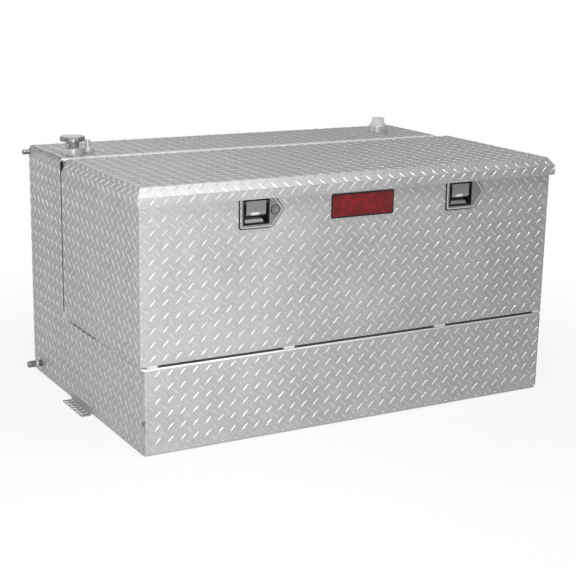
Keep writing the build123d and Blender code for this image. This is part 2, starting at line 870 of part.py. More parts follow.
# Latches: face plate with its drawn recess, gasket, paddle, bolt, guide and striker
for side, latch_x in latch_xs.items():
    face_plane = Plane((latch_x, plate_face_y, latch_z), x_dir=(1, 0, 0), z_dir=(0, -1, 0))
    back_plane = Plane((latch_x, plate_back_y, latch_z), x_dir=(1, 0, 0), z_dir=(0, -1, 0))
    with BuildPart() as latch_pan:
        with BuildSketch(back_plane):
            with BuildLine():
                latch_plate_outline(0)
            make_face()
        extrude(amount=plate_sheet)
        with BuildSketch(back_plane):
            RectangleRounded(
                recess_width + 2 * recess_wall,
                recess_height + 2 * recess_wall,
                recess_corner + recess_wall,
            )
        extrude(amount=-recess_depth)
        with BuildSketch(face_plane):
            RectangleRounded(recess_width, recess_height, recess_corner)
            if side == "left":
                with Locations((lock_offset, 0)):
                    Circle(lock_case_r + lock_clearance)
        extrude(amount=-(plate_sheet + recess_depth - recess_wall), mode=Mode.SUBTRACT)
        trunnion_plane = Plane((latch_x, barrel_y, barrel_z), z_dir=(1, 0, 0))
        with BuildSketch(trunnion_plane):
            Circle(trunnion_r + trunnion_clearance)
        extrude(amount=recess_width / 2 + 2 * recess_wall, both=True, mode=Mode.SUBTRACT)
    write(latch_pan.part, f"latch_pan_{side}")

    with BuildPart() as latch_gasket:
        with BuildSketch(back_plane):
            with BuildLine():
                latch_plate_outline(gasket_inset)
            make_face()
            hole = 2 * (recess_wall + cutout_clearance)
            RectangleRounded(
                recess_width + hole, recess_height + hole, recess_corner, mode=Mode.SUBTRACT
            )
            if side == "left":
                with Locations((lock_offset, 0)):
                    Circle(lock_case_r + cutout_clearance, mode=Mode.SUBTRACT)
        extrude(amount=-gasket_sheet)
    write(latch_gasket.part, f"latch_gasket_{side}")

    with BuildPart() as latch_paddle:
        paddle_y = plate_face_y + paddle_inset + paddle_sheet / 2
        paddle_top_z = barrel_z + barrel_r
        paddle_low_z = barrel_z - paddle_drop + barrel_r
        with BuildSketch(Plane.YZ.offset(latch_x)):
            with BuildLine():
                FilletPolyline(
                    (paddle_y, paddle_top_z),
                    (paddle_y, paddle_low_z),
                    (paddle_y + paddle_lip, paddle_low_z - paddle_lip_drop),
                    radius=paddle_lip_r,
                )
            trace(line_width=paddle_sheet)
            with Locations((barrel_y, barrel_z)):
                Circle(barrel_r)
        extrude(amount=paddle_width / 2, both=True)
        with BuildSketch(trunnion_plane):
            Circle(trunnion_r)
        extrude(amount=recess_width / 2 + recess_wall, both=True)
    write(latch_paddle.part, f"latch_paddle_{side}")

    with BuildPart() as bolt_guide:
        with BuildSketch(Plane.XZ.offset(-panel_inner_y)):
            with Locations((latch_x, guide_z)):
                Rectangle(guide_base_width, guide_base_sheet, align=(Align.CENTER, Align.MIN))
            with Locations((latch_x, bolt_z)):
                Rectangle(guide_width, guide_height)
                Rectangle(
                    bolt_width + 2 * bolt_clearance,
                    bolt_height + 2 * bolt_clearance,
                    mode=Mode.SUBTRACT,
                )
        extrude(amount=-guide_length)
    write(bolt_guide.part, f"bolt_guide_{side}")

    with BuildPart() as latch_bolt:
        with BuildSketch(Plane.XZ.offset(-bolt_tip_y)):
            with Locations((latch_x, bolt_z)):
                Rectangle(bolt_width, bolt_height)
        extrude(amount=bolt_length)
        nose = latch_bolt.faces().sort_by(Axis.Y)[-1]
        chamfer(nose.edges().sort_by(Axis.Z)[-1], bolt_nose)
    write(latch_bolt.part, f"latch_bolt_{side}")

    with BuildPart() as striker:
        with BuildSketch(Plane.YZ.offset(latch_x)):
            with Locations((striker_y, lid_inner_z)):
                Rectangle(
                    striker_sheet,
                    lid_inner_z - bolt_z + striker_drop,
                    align=(Align.MIN, Align.MAX),
                )
                Rectangle(striker_foot, striker_sheet, align=(Align.MIN, Align.MAX))
        extrude(amount=striker_width / 2, both=True)
        with BuildSketch(Plane.XZ.offset(-striker_y)):
            with Locations((latch_x, bolt_z)):
                Rectangle(bolt_width + 2 * striker_window_margin, bolt_height + 2 * striker_window_margin)
        extrude(amount=-striker_sheet, mode=Mode.SUBTRACT)
    write(striker.part, f"striker_{side}")

# Key lock beside the left latch's recess
lock_x = latch_xs["left"] + lock_offset
lock_plane = Plane((lock_x, plate_face_y, latch_z), x_dir=(1, 0, 0), z_dir=(0, -1, 0))
with BuildPart() as lock_case:
    with BuildSketch(lock_plane):
        Circle(bezel_r)
    extrude(amount=bezel_height)
    chamfer(lock_case.edges().sort_by(Axis.Y)[0], bezel_chamfer)
    with BuildSketch(lock_plane):
        Circle(lock_case_r)
    extrude(amount=-lock_depth)
    with BuildSketch(lock_plane.offset(bezel_height)):
        Circle(lock_plug_r + lock_clearance)
    extrude(amount=-(bezel_height + lock_depth), mode=Mode.SUBTRACT)
write(lock_case.part, "lock_case")

with BuildPart() as lock_plug:
    plug_face = lock_plane.offset(bezel_height + lock_plug_proud)
    with BuildSketch(plug_face):
        Circle(lock_plug_r)
    extrude(amount=-(bezel_height + lock_plug_proud + lock_depth + cam_gap))
    with BuildSketch(plug_face):
        Rectangle(key_slot_width, key_slot_length)
    extrude(amount=-key_slot_depth, mode=Mode.SUBTRACT)
    with BuildSketch(lock_plane.offset(-(lock_depth + cam_gap))):
        with Locations((0, -cam_tail)):
            Rectangle(cam_width, cam_tail + cam_length, align=(Align.CENTER, Align.MIN))
    extrude(amount=-cam_sheet)
write(lock_plug.part, "lock_plug")

with BuildPart() as panel_plate:
    plate_z = rim_z - panel_plate_below_rim
    with BuildSketch(Plane((panel_plate_shift, box_front_y, plate_z), x_dir=(1, 0, 0), z_dir=(0, -1, 0))):
        RectangleRounded(panel_plate_width, panel_plate_height, panel_plate_corner)
    extrude(amount=panel_plate_sheet)
write(panel_plate.part, "panel_plate")

# Gas struts: the tube turns on a pin at the toolbox's end, and the rod's eye meets the lid's bracket
strut_rise = strut_lid_z - strut_box_z
strut_length = math.hypot(strut_reach, strut_rise)
strut_bore_r = strut_tube_r - strut_tube_wall
piston_start = strut_neck_length + strut_bottom_room
tube_end = strut_neck_length + strut_tube_length
for side, sign in (("left", -1), ("right", 1)):
    strut_x = sign * (box_end_x - strut_inset)
    eye_out_x = strut_x + sign * strut_eye_width / 2
    strut_plane = Plane(
        (strut_x, strut_box_y, strut_box_z),
        x_dir=(1, 0, 0),
        z_dir=(0, -strut_reach, strut_rise),
    )
    cross_plane = Plane((strut_x, strut_box_y, strut_box_z), z_dir=(sign, 0, 0))
    with BuildPart() as strut_tube:
        with BuildSketch(strut_plane.offset(strut_neck_length)):
            Circle(strut_tube_r)
        extrude(amount=strut_tube_length)
        with BuildSketch(strut_plane):
            Circle(strut_neck_r)
        extrude(amount=strut_neck_length)
        with BuildSketch(cross_plane):
            Circle(strut_eye_r)
        extrude(amount=strut_eye_width / 2, both=True)
        with BuildSketch(strut_plane.offset(strut_neck_length + strut_tube_wall)):
            Circle(strut_bore_r)
        extrude(amount=strut_tube_length - strut_gland - strut_tube_wall, mode=Mode.SUBTRACT)
        with BuildSketch(strut_plane.offset(tube_end)):
            Circle(strut_rod_r + strut_slide_clearance)
        extrude(amount=-strut_gland, mode=Mode.SUBTRACT)
        with BuildSketch(cross_plane):
            Circle(strut_pin_r + strut_slide_clearance)
        extrude(amount=strut_eye_width, both=True, mode=Mode.SUBTRACT)
    write(strut_tube.part, f"strut_tube_{side}")

    eye_plane = Plane((strut_x, strut_lid_y, strut_lid_z), z_dir=(sign, 0, 0))
    with BuildPart() as strut_rod:
        with BuildSketch(strut_plane.offset(piston_start)):
            Circle(strut_bore_r - strut_piston_clearance)
        extrude(amount=strut_piston_length)
        with BuildSketch(strut_plane.offset(piston_start)):
            Circle(strut_rod_r)
        extrude(amount=strut_length - piston_start)
        with BuildSketch(eye_plane):
            Circle(strut_eye_r)
        extrude(amount=strut_eye_width / 2, both=True)
        with BuildSketch(eye_plane):
            Circle(strut_pin_r)
        extrude(amount=strut_eye_width, both=True, mode=Mode.SUBTRACT)
    write(strut_rod.part, f"strut_rod_{side}")

    with BuildPart() as strut_post:
        wall_x = box_end_x - box_sheet
        with BuildSketch(Plane((sign * wall_x, strut_box_y, strut_box_z), z_dir=(-sign, 0, 0))):
            Circle(strut_base_r)
        extrude(amount=strut_base_thickness)
        post_end = abs(eye_out_x) + strut_side_gap
        with BuildSketch(Plane((sign * wall_x, strut_box_y, strut_box_z), z_dir=(-sign, 0, 0))):
            Circle(strut_post_r)
        extrude(amount=wall_x - post_end)
        with BuildSketch(Plane((sign * post_end, strut_box_y, strut_box_z), z_dir=(-sign, 0, 0))):
            Circle(strut_pin_r)
        extrude(amount=strut_eye_width + 2 * strut_side_gap)
        head_x = post_end - strut_eye_width - 2 * strut_side_gap
        with BuildSketch(Plane((sign * head_x, strut_box_y, strut_box_z), z_dir=(-sign, 0, 0))):
            Circle(strut_head_r)
        extrude(amount=strut_head_thickness)
    write(strut_post.part, f"strut_post_{side}")

    with BuildPart() as strut_bracket:
        bracket_x = eye_out_x + sign * strut_side_gap
        bracket_low = strut_lid_z - strut_bracket_margin
        with BuildSketch(Plane.XZ.offset(-strut_lid_y)):
            with Locations((bracket_x, lid_inner_z)):
                Rectangle(
                    strut_bracket_sheet,
                    lid_inner_z - bracket_low,
                    align=(Align.MAX if sign < 0 else Align.MIN, Align.MAX),
                )
            with Locations((bracket_x + sign * strut_bracket_sheet, lid_inner_z)):
                Rectangle(
                    strut_bracket_foot,
                    strut_bracket_sheet,
                    align=(Align.MIN if sign < 0 else Align.MAX, Align.MAX),
                )
        extrude(amount=strut_bracket_width / 2, both=True)
    write(strut_bracket.part, f"strut_bracket_{side}")
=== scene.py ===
import json
import math

import bpy
from bpy.props import FloatProperty, FloatVectorProperty, PointerProperty
from bpy.types import Operator, Panel, PropertyGroup
from mathutils import Matrix, Vector

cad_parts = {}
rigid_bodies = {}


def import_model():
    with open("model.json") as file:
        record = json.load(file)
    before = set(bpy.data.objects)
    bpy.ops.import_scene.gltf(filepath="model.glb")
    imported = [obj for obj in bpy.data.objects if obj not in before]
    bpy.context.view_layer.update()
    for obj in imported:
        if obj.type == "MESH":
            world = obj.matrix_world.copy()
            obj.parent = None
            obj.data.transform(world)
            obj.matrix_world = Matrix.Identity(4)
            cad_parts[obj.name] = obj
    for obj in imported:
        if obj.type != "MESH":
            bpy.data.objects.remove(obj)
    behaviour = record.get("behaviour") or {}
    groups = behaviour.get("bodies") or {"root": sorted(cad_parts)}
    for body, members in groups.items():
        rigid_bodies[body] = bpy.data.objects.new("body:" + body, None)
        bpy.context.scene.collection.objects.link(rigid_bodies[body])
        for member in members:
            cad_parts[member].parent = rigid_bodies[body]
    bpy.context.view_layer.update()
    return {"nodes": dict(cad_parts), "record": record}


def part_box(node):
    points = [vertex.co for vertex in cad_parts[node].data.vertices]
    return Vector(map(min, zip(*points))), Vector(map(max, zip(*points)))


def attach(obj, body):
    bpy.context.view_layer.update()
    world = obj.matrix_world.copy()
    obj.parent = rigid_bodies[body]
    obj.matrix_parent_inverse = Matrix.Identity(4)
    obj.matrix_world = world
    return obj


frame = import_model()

bl_info = {
    "name": "Transfer tank dresser",
    "version": (1, 0, 0),
    "blender": (4, 5, 0),
    "location": "View3D > Sidebar > Tank",
    "description": "Lays tread, welds, latch trim and finishes on a truck-bed transfer tank",
    "category": "Object",
}

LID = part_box("lid_skin")
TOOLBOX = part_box("toolbox_wrap")
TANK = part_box("tank_wrap")
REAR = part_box("tank_rear")
TANK_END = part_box("tank_end_left")
END_SLOPE = TANK_END[1][0] - TANK_END[0][0]
BUNGS = ("filler_bung", "vent_bung", "pump_bung")

# Starts and ends of the stitch welds in millimetres: along X in front, and back from the toolbox's front
STITCHES_FRONT = ((-597, -568), (-221, -189), (243, 280), (580, 606))
STITCHES_END = ((0, 20), (132, 178), (238, 290), (476, 512))

# Turn of the lid's rolled rear edge, and how much of it the tread covers
ROLL_TURN = math.radians(60)
ROLL_COVERED = math.radians(58)

# From the left edge of a latch's plate to the middle of its recess, and from there to the plate's shoulder
RECESS_INSET = 0.0445
SHOULDER = 0.0439


def millimetres(name, text, default):
    """A length for the sidebar, stated in millimetres and kept in metres."""
    return FloatProperty(name=name, description=text, default=default / 1000, unit="LENGTH", precision=4)


def colour(name, text, default):
    """A colour for the sidebar."""
    return FloatVectorProperty(
        name=name, description=text, default=default, size=3, min=0, max=1, subtype="COLOR"
    )


class TankSizes(PropertyGroup):
    """Sizes of the details that are laid on the tank."""

    tread_pitch: millimetres("Tread pitch", "Distance between bars that lean the same way", 34.2)
    bar_length: millimetres("Bar length", "Length of one raised bar", 25.0)
    bar_width: millimetres("Bar width", "Width of one raised bar", 5.6)
    bar_height: millimetres("Bar height", "How far a bar stands off the sheet", 1.5)
    lid_bevel_drop: millimetres("Lid bevel drop", "Height of the lid's bevel", 21.5)
    lid_bevel_front: millimetres("Lid bevel, front", "Depth of the lid's front bevel", 17.6)
    lid_bevel_end: millimetres("Lid bevel, ends", "Width of the lid's end bevels", 14.7)
    lid_roll_radius: millimetres("Lid roll radius", "Radius of the lid's rolled rear edge", 58.0)
    tower_depth: millimetres("Tower depth", "Depth of the tall part of the tank", 262.0)
    deck_height: millimetres("Deck height", "Height of the low part of the tank", 224.0)
    fold: millimetres("Fold", "Radius of the tank's folded edges", 9.5)
    weld_pitch: millimetres("Weld ripple", "Distance between a weld's ripples", 5.0)
    stitch_width: millimetres("Stitch width", "Width of the stitch welds", 10.0)
    corner_weld_width: millimetres("Corner weld width", "Width of the tank's corner welds", 12.5)
    fitting_weld_width: millimetres("Fitting weld width", "Width of the welds round the fittings", 6.0)
    weld_height: millimetres("Weld height", "How far a weld's ripples stand up", 1.7)
    recess_width: millimetres("Recess width", "Width of a latch's recess", 64.0)
    recess_height: millimetres("Recess height", "Height of a latch's recess", 60.0)
    latch_rim: millimetres("Latch rim", "Width of the raised rim round a latch's plate", 3.6)
    plate_border: millimetres("Plate border", "Width of the dark border round the plain plate", 4.0)


class TankColours(PropertyGroup):
    """Colours of the tank's finishes."""

    sheet: colour("Sheet", "Mill finish of the tread plate", (0.421, 0.42, 0.419))
    bar: colour("Bars", "Worn tops of the raised bars", (0.60, 0.60, 0.598))
    weld: colour("Welds", "Unground welds", (0.50, 0.50, 0.50))
    sooty_weld: colour("Sooty welds", "Welds along the corners and round the fittings", (0.34, 0.34, 0.34))
    neck: colour("Neck", "Threaded metal of the filler's neck", (0.40, 0.40, 0.405))
    cap: colour("Cap", "Turned aluminium of the filler's cap", (0.52, 0.52, 0.525))
    steel: colour("Steel", "Pressed steel of the latches", (0.25, 0.25, 0.252))
    rim: colour("Latch rims", "Rubbed steel of the latches' rims", (0.62, 0.62, 0.62))
    lock_ring: colour("Lock ring", "Plated face of the key lock", (0.36, 0.36, 0.36))
    lock: colour("Lock", "Dark ring of the key lock", (0.05, 0.05, 0.05))
    # Painted shade: the feet's sheet is made darker than the tank's
    foot: colour("Feet", "Sooted sheet of the feet", (0.36, 0.36, 0.365))
    # Partly worn tops, partly painted highlight: the feet's bars are near white
    foot_bar: colour("Feet's bars", "Rubbed bars on the feet", (0.95, 0.95, 0.95))
    port: colour("Ports", "Plated pipe fittings", (0.70, 0.70, 0.70))
    port_cap: colour("Port caps", "Dark plated caps of the ports", (0.22, 0.22, 0.22))
    bung: colour("Bungs", "Clean turned metal of the welded bungs", (0.62, 0.62, 0.62))
    white: colour("White plastic", "Plug of the pump opening", (0.92, 0.92, 0.91))
    red: colour("Red field", "Field of the plain plate", (0.175, 0.006, 0.008))
    dark: colour("Dark border", "Border of the plain plate", (0.012, 0.010, 0.010))


class Wire:
    """A value on its way through a material. Python's operators add Math nodes to it."""

    def __init__(self, finish, socket):
        self.finish = finish
        self.socket = socket

    def maths(self, operation, *others):
        """One Math node, with this value first."""
        node = self.finish.tree.nodes.new("ShaderNodeMath")
        node.operation = operation
        for slot, value in enumerate((self, *others)):
            self.finish.join(node.inputs[slot], value)
        return Wire(self.finish, node.outputs[0])

    def __add__(self, other):
        return self.maths("ADD", other)

    __radd__ = __add__

    def __mul__(self, other):
        return self.maths("MULTIPLY", other)

    __rmul__ = __mul__

    def __sub__(self, other):
        return self.maths("SUBTRACT", other)

    def __rsub__(self, other):
        return (self * -1).maths("ADD", other)

    def __truediv__(self, other):
        return self.maths("DIVIDE", other)

    def __pow__(self, other):
        return self.maths("POWER", other)

    def above(self, low, high):
        """Rises from 0 at low to 1 at high."""
        return Wire(self.finish, self.finish.node(
            "ShaderNodeMapRange", {"clamp": True}, {"Value": self, "From Min": low, "From Max": high}
        ).outputs["Result"])

    def within(self, low, high, soft=0.0008):
        """1 between low and high, and 0 beyond a soft edge on each side."""
        return self.above(low - soft, low) - self.above(high, high + soft)

    def away(self, middle):
        """How far the value is from a middle, either way."""
        return (self - middle).maths("ABSOLUTE")


class Finish:
    """One material, built as nodes round a Principled shader."""

    def __init__(self, name, metallic, **constants):
        self.material = bpy.data.materials.new(name)
        self.material.use_nodes = True
        self.tree = self.material.node_tree
        self.shader = self.tree.nodes["Principled BSDF"]
        self.shader.inputs["Metallic"].default_value = metallic
        for socket, value in constants.items():
            self.shader.inputs[socket.replace("_", " ")].default_value = value
        self.place = Wire(self, self.node("ShaderNodeTexCoord", {}, {}).outputs["Object"])

    def join(self, socket, value):
        """Links a value on its way to a socket, or sets the socket to a plain one."""
        if isinstance(value, Wire):
            self.tree.links.new(value.socket, socket)
        elif socket.type == "RGBA" and len(value) == 3:
            socket.default_value = (*value, 1)
        else:
            socket.default_value = value

    def node(self, kind, settings, sockets):
        """Adds a node: its settings first, then the values or links of its sockets."""
        node = self.tree.nodes.new(kind)
        for key, value in settings.items():
            setattr(node, key, value)
        for key, value in sockets.items():
            self.join(node.inputs[key], value)
        return node

    def along(self, axis):
        """One of the object coordinates, in metres."""
        return Wire(self, self.node("ShaderNodeSeparateXYZ", {}, {0: self.place}).outputs[axis])

    def stretched(self, x, y, z):
        """Object coordinates scaled along each axis."""
        node = self.node("ShaderNodeMapping", {}, {"Vector": self.place, "Scale": (x, y, z)})
        return Wire(self, node.outputs["Vector"])

    def noise(self, scale, detail=3.0, roughness=0.5, place=None):
        """Noise between 0 and 1, on the object coordinates or on a place that is given."""
        node = self.node(
            "ShaderNodeTexNoise",
            {},
            {"Vector": place or self.place, "Scale": scale, "Detail": detail, "Roughness": roughness},
        )
        return Wire(self, node.outputs["Fac"])

    def mix(self, first, second, share):
        """A colour between two, by a share from 0 to 1."""
        node = self.node("ShaderNodeMix", {"data_type": "RGBA"}, {0: share, 6: first, 7: second})
        return Wire(self, node.outputs[2])

    def shades(self, base, low, high, share):
        """A base colour made darker and lighter by a share from 0 to 1."""
        return self.mix([c * low for c in base], [min(1.0, c * high) for c in base], share)

    def set(self, socket, value):
        """Sets or links one of the shader's sockets."""
        self.join(self.shader.inputs[socket], value)

    def bump(self, height, strength, distance):
        """Raises the surface by a height from 0 to 1, over a distance in metres."""
        node = self.node(
            "ShaderNodeBump", {}, {"Height": height, "Strength": strength, "Distance": distance}
        )
        self.join(self.shader.inputs["Normal"], Wire(self, node.outputs["Normal"]))


class Surroundings(Finish):
    """The world, built from the same nodes: its place is the direction looked in."""

    def __init__(self, name):
        self.world = bpy.data.worlds.new(name)
        self.world.use_nodes = True
        self.tree = self.world.node_tree
        self.shader = self.tree.nodes["Background"]
        self.shader.inputs["Color"].default_value = (1, 1, 1, 1)
        self.place = Wire(self, self.node("ShaderNodeTexCoord", {}, {}).outputs["Generated"])


def sheet_finish(name, base, sizes):
    """Mill-finish sheet: cloudy patches, mottle and scuffs, with painted shade along the seams and painted
    highlight on the folds.
    """
    finish = Finish(name, 0.3)
    across, depth, height = (finish.along(axis) for axis in "XYZ")
    front, step = TANK[0][1], TANK[1][1] - sizes.tower_depth
    deck, top, fold = sizes.deck_height, TANK[1][2], sizes.fold
    box_front, end_face = TOOLBOX[0][1], TANK[1][0]
    facing_front = 1 - depth.above(front + fold, front + fold + 0.004)
    at_ends = across.away(0).above(end_face - 0.001, end_face + 0.001)

    # Painted shade in the seams' gaps: under the toolbox's front, up the ends in front of the tower, and
    # along the ends' deck
    first_stitch = STITCHES_FRONT[0][0] / 1000
    last_stitch = box_front + STITCHES_END[-1][0] / 1000
    foot_seam = height.within(deck - 0.0005, deck + 0.0035) * facing_front
    foot_seam = foot_seam * across.above(first_stitch, first_stitch + 0.002)
    tower_seam = depth.within(step - 0.0040, step + 0.0010) * height.above(deck + 0.014, deck + 0.017)
    deck_seam = height.within(deck - 0.0062, deck + 0.0003) * depth.within(box_front + 0.027, last_stitch)
    deck_seam = deck_seam * (0.22 + depth.above(-0.15, -0.07) * 0.78)
    # Painted shade: the seams' gaps made near black, paler along the ends' deck towards the front
    darkening = (foot_seam + (tower_seam + deck_seam) * at_ends) * 0.94

    # Painted highlight: the folds under the front seam, fading from left to right, and at the tower's top,
    # and the seams' corner
    front_fold = height.within(deck - fold * 0.4, deck - 0.0012) * facing_front
    front_fold = front_fold * (0.75 - across.above(-0.45, 0.35) * 0.45)
    tower_fold = depth.within(step, step + fold) * height.above(top - fold, top - fold + 0.001)
    seam_corner = depth.within(step - 0.017, step + 0.005) * height.within(deck - 0.005, deck + 0.013)
    bright = front_fold + tower_fold + seam_corner * at_ends

    clouds = finish.noise(5.0, 4.0, 0.6)
    speckle = finish.noise(150.0, 5.0, 0.7).above(0.28, 0.72)
    lines = finish.noise(30.0, 3.0, 0.6, finish.stretched(0.6, 14.0, 14.0))
    scuffs = finish.noise(26.0, 6.0, 0.75).above(0.56, 0.70)
    share = clouds.above(0.3, 0.7) * 0.35 + speckle * 0.45 + lines * 0.2
    mottled = finish.shades(base, 0.74, 1.22, share)
    scuffed = finish.mix(mottled, [min(1.0, c * 1.3) for c in base], scuffs * 0.4)
    # Painted highlight, mixed towards near white
    highlighted = finish.mix(scuffed, (0.92, 0.92, 0.92), bright * 0.85)
    finish.set("Base Color", finish.mix(highlighted, (0.012, 0.012, 0.012), darkening))
    finish.set("Roughness", 0.36 + clouds * 0.1 + speckle * 0.1)
    finish.bump(speckle * 0.5 + lines * 0.5, 0.4, 0.0006)
    return finish.material


def bar_finish(name, base, metallic):
    """Raised bars: brighter and smoother than the sheet, with painted shade on the bars of the tops, deeper
    towards the right.
    """
    finish = Finish(name, metallic)
    rub = finish.noise(90.0, 3.0, 0.6)
    grain = finish.noise(420.0, 2.0, 0.5)
    # Painted shade: bars on the tank's and the lid's tops made darker, more so towards the right
    top_shade = finish.along("Z").above(TANK[1][2] - 0.003, TANK[1][2])
    top_shade = top_shade * (0.3 + finish.along("X").above(-0.5, 0.0) * 0.7)
    bright = finish.shades(base, 0.82, 1.1, rub.above(0.3, 0.7))
    finish.set("Base Color", finish.mix(bright, [c * 0.66 for c in base], top_shade * 0.9))
    finish.set("Roughness", 0.26 + rub * 0.2 + top_shade * 0.12)
    finish.bump(grain, 0.25, 0.0003)
    return finish.material


def inner_finish(colours):
    """The sheet's smooth side, as inside the toolbox."""
    finish = Finish("smooth_sheet", 0.6)
    lines = finish.noise(24.0, 3.0, 0.6, finish.stretched(1.0, 18.0, 18.0))
    finish.set("Base Color", finish.shades(colours.sheet, 0.9, 1.06, lines))
    finish.set("Roughness", 0.38 + lines * 0.16)
    finish.bump(lines, 0.2, 0.0004)
    return finish.material


def weld_finish(name, metal, soot_share):
    """Weld metal: grey ripples with sooty dark patches."""
    finish = Finish(name, 0.45)
    grain = finish.noise(260.0, 4.0, 0.7)
    darkening = finish.noise(70.0, 3.0, 0.6).above(0.5, 0.72)
    base = finish.shades(metal, 0.75, 1.3, grain)
    finish.set("Base Color", finish.mix(base, [c * 0.2 for c in metal], darkening * soot_share))
    finish.set("Roughness", 0.34 + grain * 0.3)
    finish.bump(grain, 0.5, 0.0006)
    return finish.material


def turned_finish(name, base, roughness, metallic=0.85):
    """Turned or pressed metal with fine lines round it and light handling marks."""
    finish = Finish(name, metallic)
    lines = finish.noise(40.0, 2.0, 0.5, finish.stretched(2.0, 2.0, 60.0))
    marks = finish.noise(120.0, 4.0, 0.6)
    finish.set("Base Color", finish.shades(base, 0.84, 1.12, lines * 0.5 + marks * 0.5))
    finish.set("Roughness", (roughness - 0.06) + marks * 0.16)
    finish.bump(lines, 0.2, 0.0003)
    return finish.material


def latch_pan_finish(base, face_y, middles, sizes):
    """Pressed steel of a latch's plate, with painted shade in its recess and on a band round it: near black.
    """
    finish = Finish("latch_pan_steel", 0.6, Specular_IOR_Level=0.12)
    marks = finish.noise(110.0, 4.0, 0.65)
    lines = finish.noise(34.0, 2.0, 0.5, finish.stretched(3.0, 3.0, 50.0))
    steel = finish.shades(base, 0.76, 1.25, marks * 0.6 + lines * 0.4)
    inside = finish.along("Y").above(face_y + 0.0006, face_y + 0.0014)
    band_across, band_up = 0.0042, 0.0036
    for x, z in middles:
        reach = finish.along("X").away(x) / (sizes.recess_width / 2 + band_across)
        rise = finish.along("Z").away(z) / (sizes.recess_height / 2 + band_up)
        inside = inside.maths("MAXIMUM", 1 - reach.maths("MAXIMUM", rise).above(1.0, 1.02))
    # Painted shade, near black, in the recess and on a band round it
    near_black = finish.shades((0.008, 0.008, 0.0085), 0.7, 1.5, marks)
    finish.set("Base Color", finish.mix(steel, near_black, inside))
    finish.set("Metallic", 0.62 - inside * 0.6)
    finish.set("Roughness", 0.3 + marks * 0.14 + inside * 0.3)
    finish.bump(marks, 0.3, 0.0003)
    return finish.material


def paddle_finish(base, bottom, middles):
    """Pressed steel of a paddle, with a painted highlight along its curved lip, strongest at the middle."""
    finish = Finish("paddle_steel", 0.6)
    marks = finish.noise(90.0, 4.0, 0.65)
    height = finish.along("Z")
    # Painted highlight: a bright band along the lip, strongest just left of each recess's middle
    lip_height, soft = 0.0085, 0.003
    lip = height.above(bottom, bottom + soft) - height.above(bottom + lip_height, bottom + lip_height + soft)
    highlight_shift, highlight_reach = 0.003, 0.007
    lip_highlight = 0
    for x, _ in middles:
        reach = finish.along("X").away(x - highlight_shift)
        lip_highlight = lip_highlight + (1 - reach.above(highlight_reach, highlight_reach * 2))
    steel = finish.shades(base, 0.8, 1.2, marks)
    finish.set("Base Color", finish.mix(steel, (0.9, 0.9, 0.9), lip * (0.1 + lip_highlight * 0.85)))
    finish.set("Roughness", 0.28 + marks * 0.16)
    finish.bump(marks, 0.25, 0.0003)
    return finish.material


def lock_finish(bright, dark, centre):
    """Plated key lock: bright round the plug, with painted shade in a dark ring outside it, at the plug's
    edge and in the keyway.
    """
    finish = Finish("lock_plating", 0.7)
    across = finish.along("X") - centre[0]
    rise = finish.along("Z") - centre[1]
    reach = (across * across + rise * rise) ** 0.5
    soft = 0.0004
    # Painted shade: the outer ring, the plug's edge and the keyway
    outer_ring = reach.above(0.0088, 0.0102)
    plug_edge = reach.within(0.0058, 0.0072, soft)
    keyway = across.away(0).within(-1, 0.0007, soft) * rise.away(0).within(-1, 0.004, soft)
    marks = finish.noise(160.0, 3.0, 0.6)
    shade = (outer_ring + plug_edge + keyway).above(0, 1)
    finish.set("Base Color", finish.mix(finish.shades(bright, 0.75, 1.2, marks), dark, shade * 0.92))
    finish.set("Roughness", 0.18 + marks * 0.14)
    finish.bump(marks, 0.2, 0.0002)
    return finish.material


def cap_finish(name, base, box):
    """Turned cap: bright rings on its top, with painted shade at its rim, over its side and in its groove.
    """
    finish = Finish(name, 0.6)
    middle = (Vector(box[0]) + Vector(box[1])) / 2
    radius = (box[1][0] - box[0][0]) / 2
    across, depth = finish.along("X") - middle.x, finish.along("Y") - middle.y
    reach = (across * across + depth * depth) ** 0.5 / radius
    lines = finish.noise(1.0, 2.0, 0.5, reach * 40.0)
    # Painted shade: the rim and the side, and the groove on the top
    rim = reach.above(0.93, 0.96) * 0.7
    groove = reach.within(0.70, 0.76, 0.03) * 0.45
    turned = finish.shades(base, 0.8, 1.15, lines)
    finish.set("Base Color", finish.mix(turned, (0.08, 0.08, 0.08), rim + groove))
    finish.set("Roughness", 0.3 + lines * 0.16)
    finish.bump(lines, 0.25, 0.0003)
    return finish.material


def port_finish(name, base, near, far):
    """Plated pipe fitting: bright, with a dark hexagon between two distances from the tank's middle."""
    finish = Finish(name, 0.6)
    marks = finish.noise(120.0, 4.0, 0.6)
    hexagon = finish.along("X").away(0).within(near, far)
    bright = finish.shades(base, 0.8, 1.15, marks)
    finish.set("Base Color", finish.mix(bright, (0.05, 0.05, 0.05), hexagon * 0.85))
    finish.set("Roughness", 0.26 + marks * 0.16)
    finish.bump(marks, 0.2, 0.0003)
    return finish.material


def threaded_finish(name, base, pitch):
    """Turned neck with painted shade in the lines of its thread."""
    finish = Finish(name, 0.6)
    turns = (finish.along("Z") * (math.tau / pitch)).maths("SINE")
    marks = finish.noise(120.0, 4.0, 0.6)
    # Painted shade in the thread's grooves
    thread = turns.above(-0.2, 0.6)
    finish.set("Base Color", finish.shades(base, 0.45, 1.1, thread * 0.7 + marks * 0.3))
    finish.set("Roughness", 0.3 + marks * 0.16)
    finish.bump(turns, 0.6, 0.0006)
    return finish.material


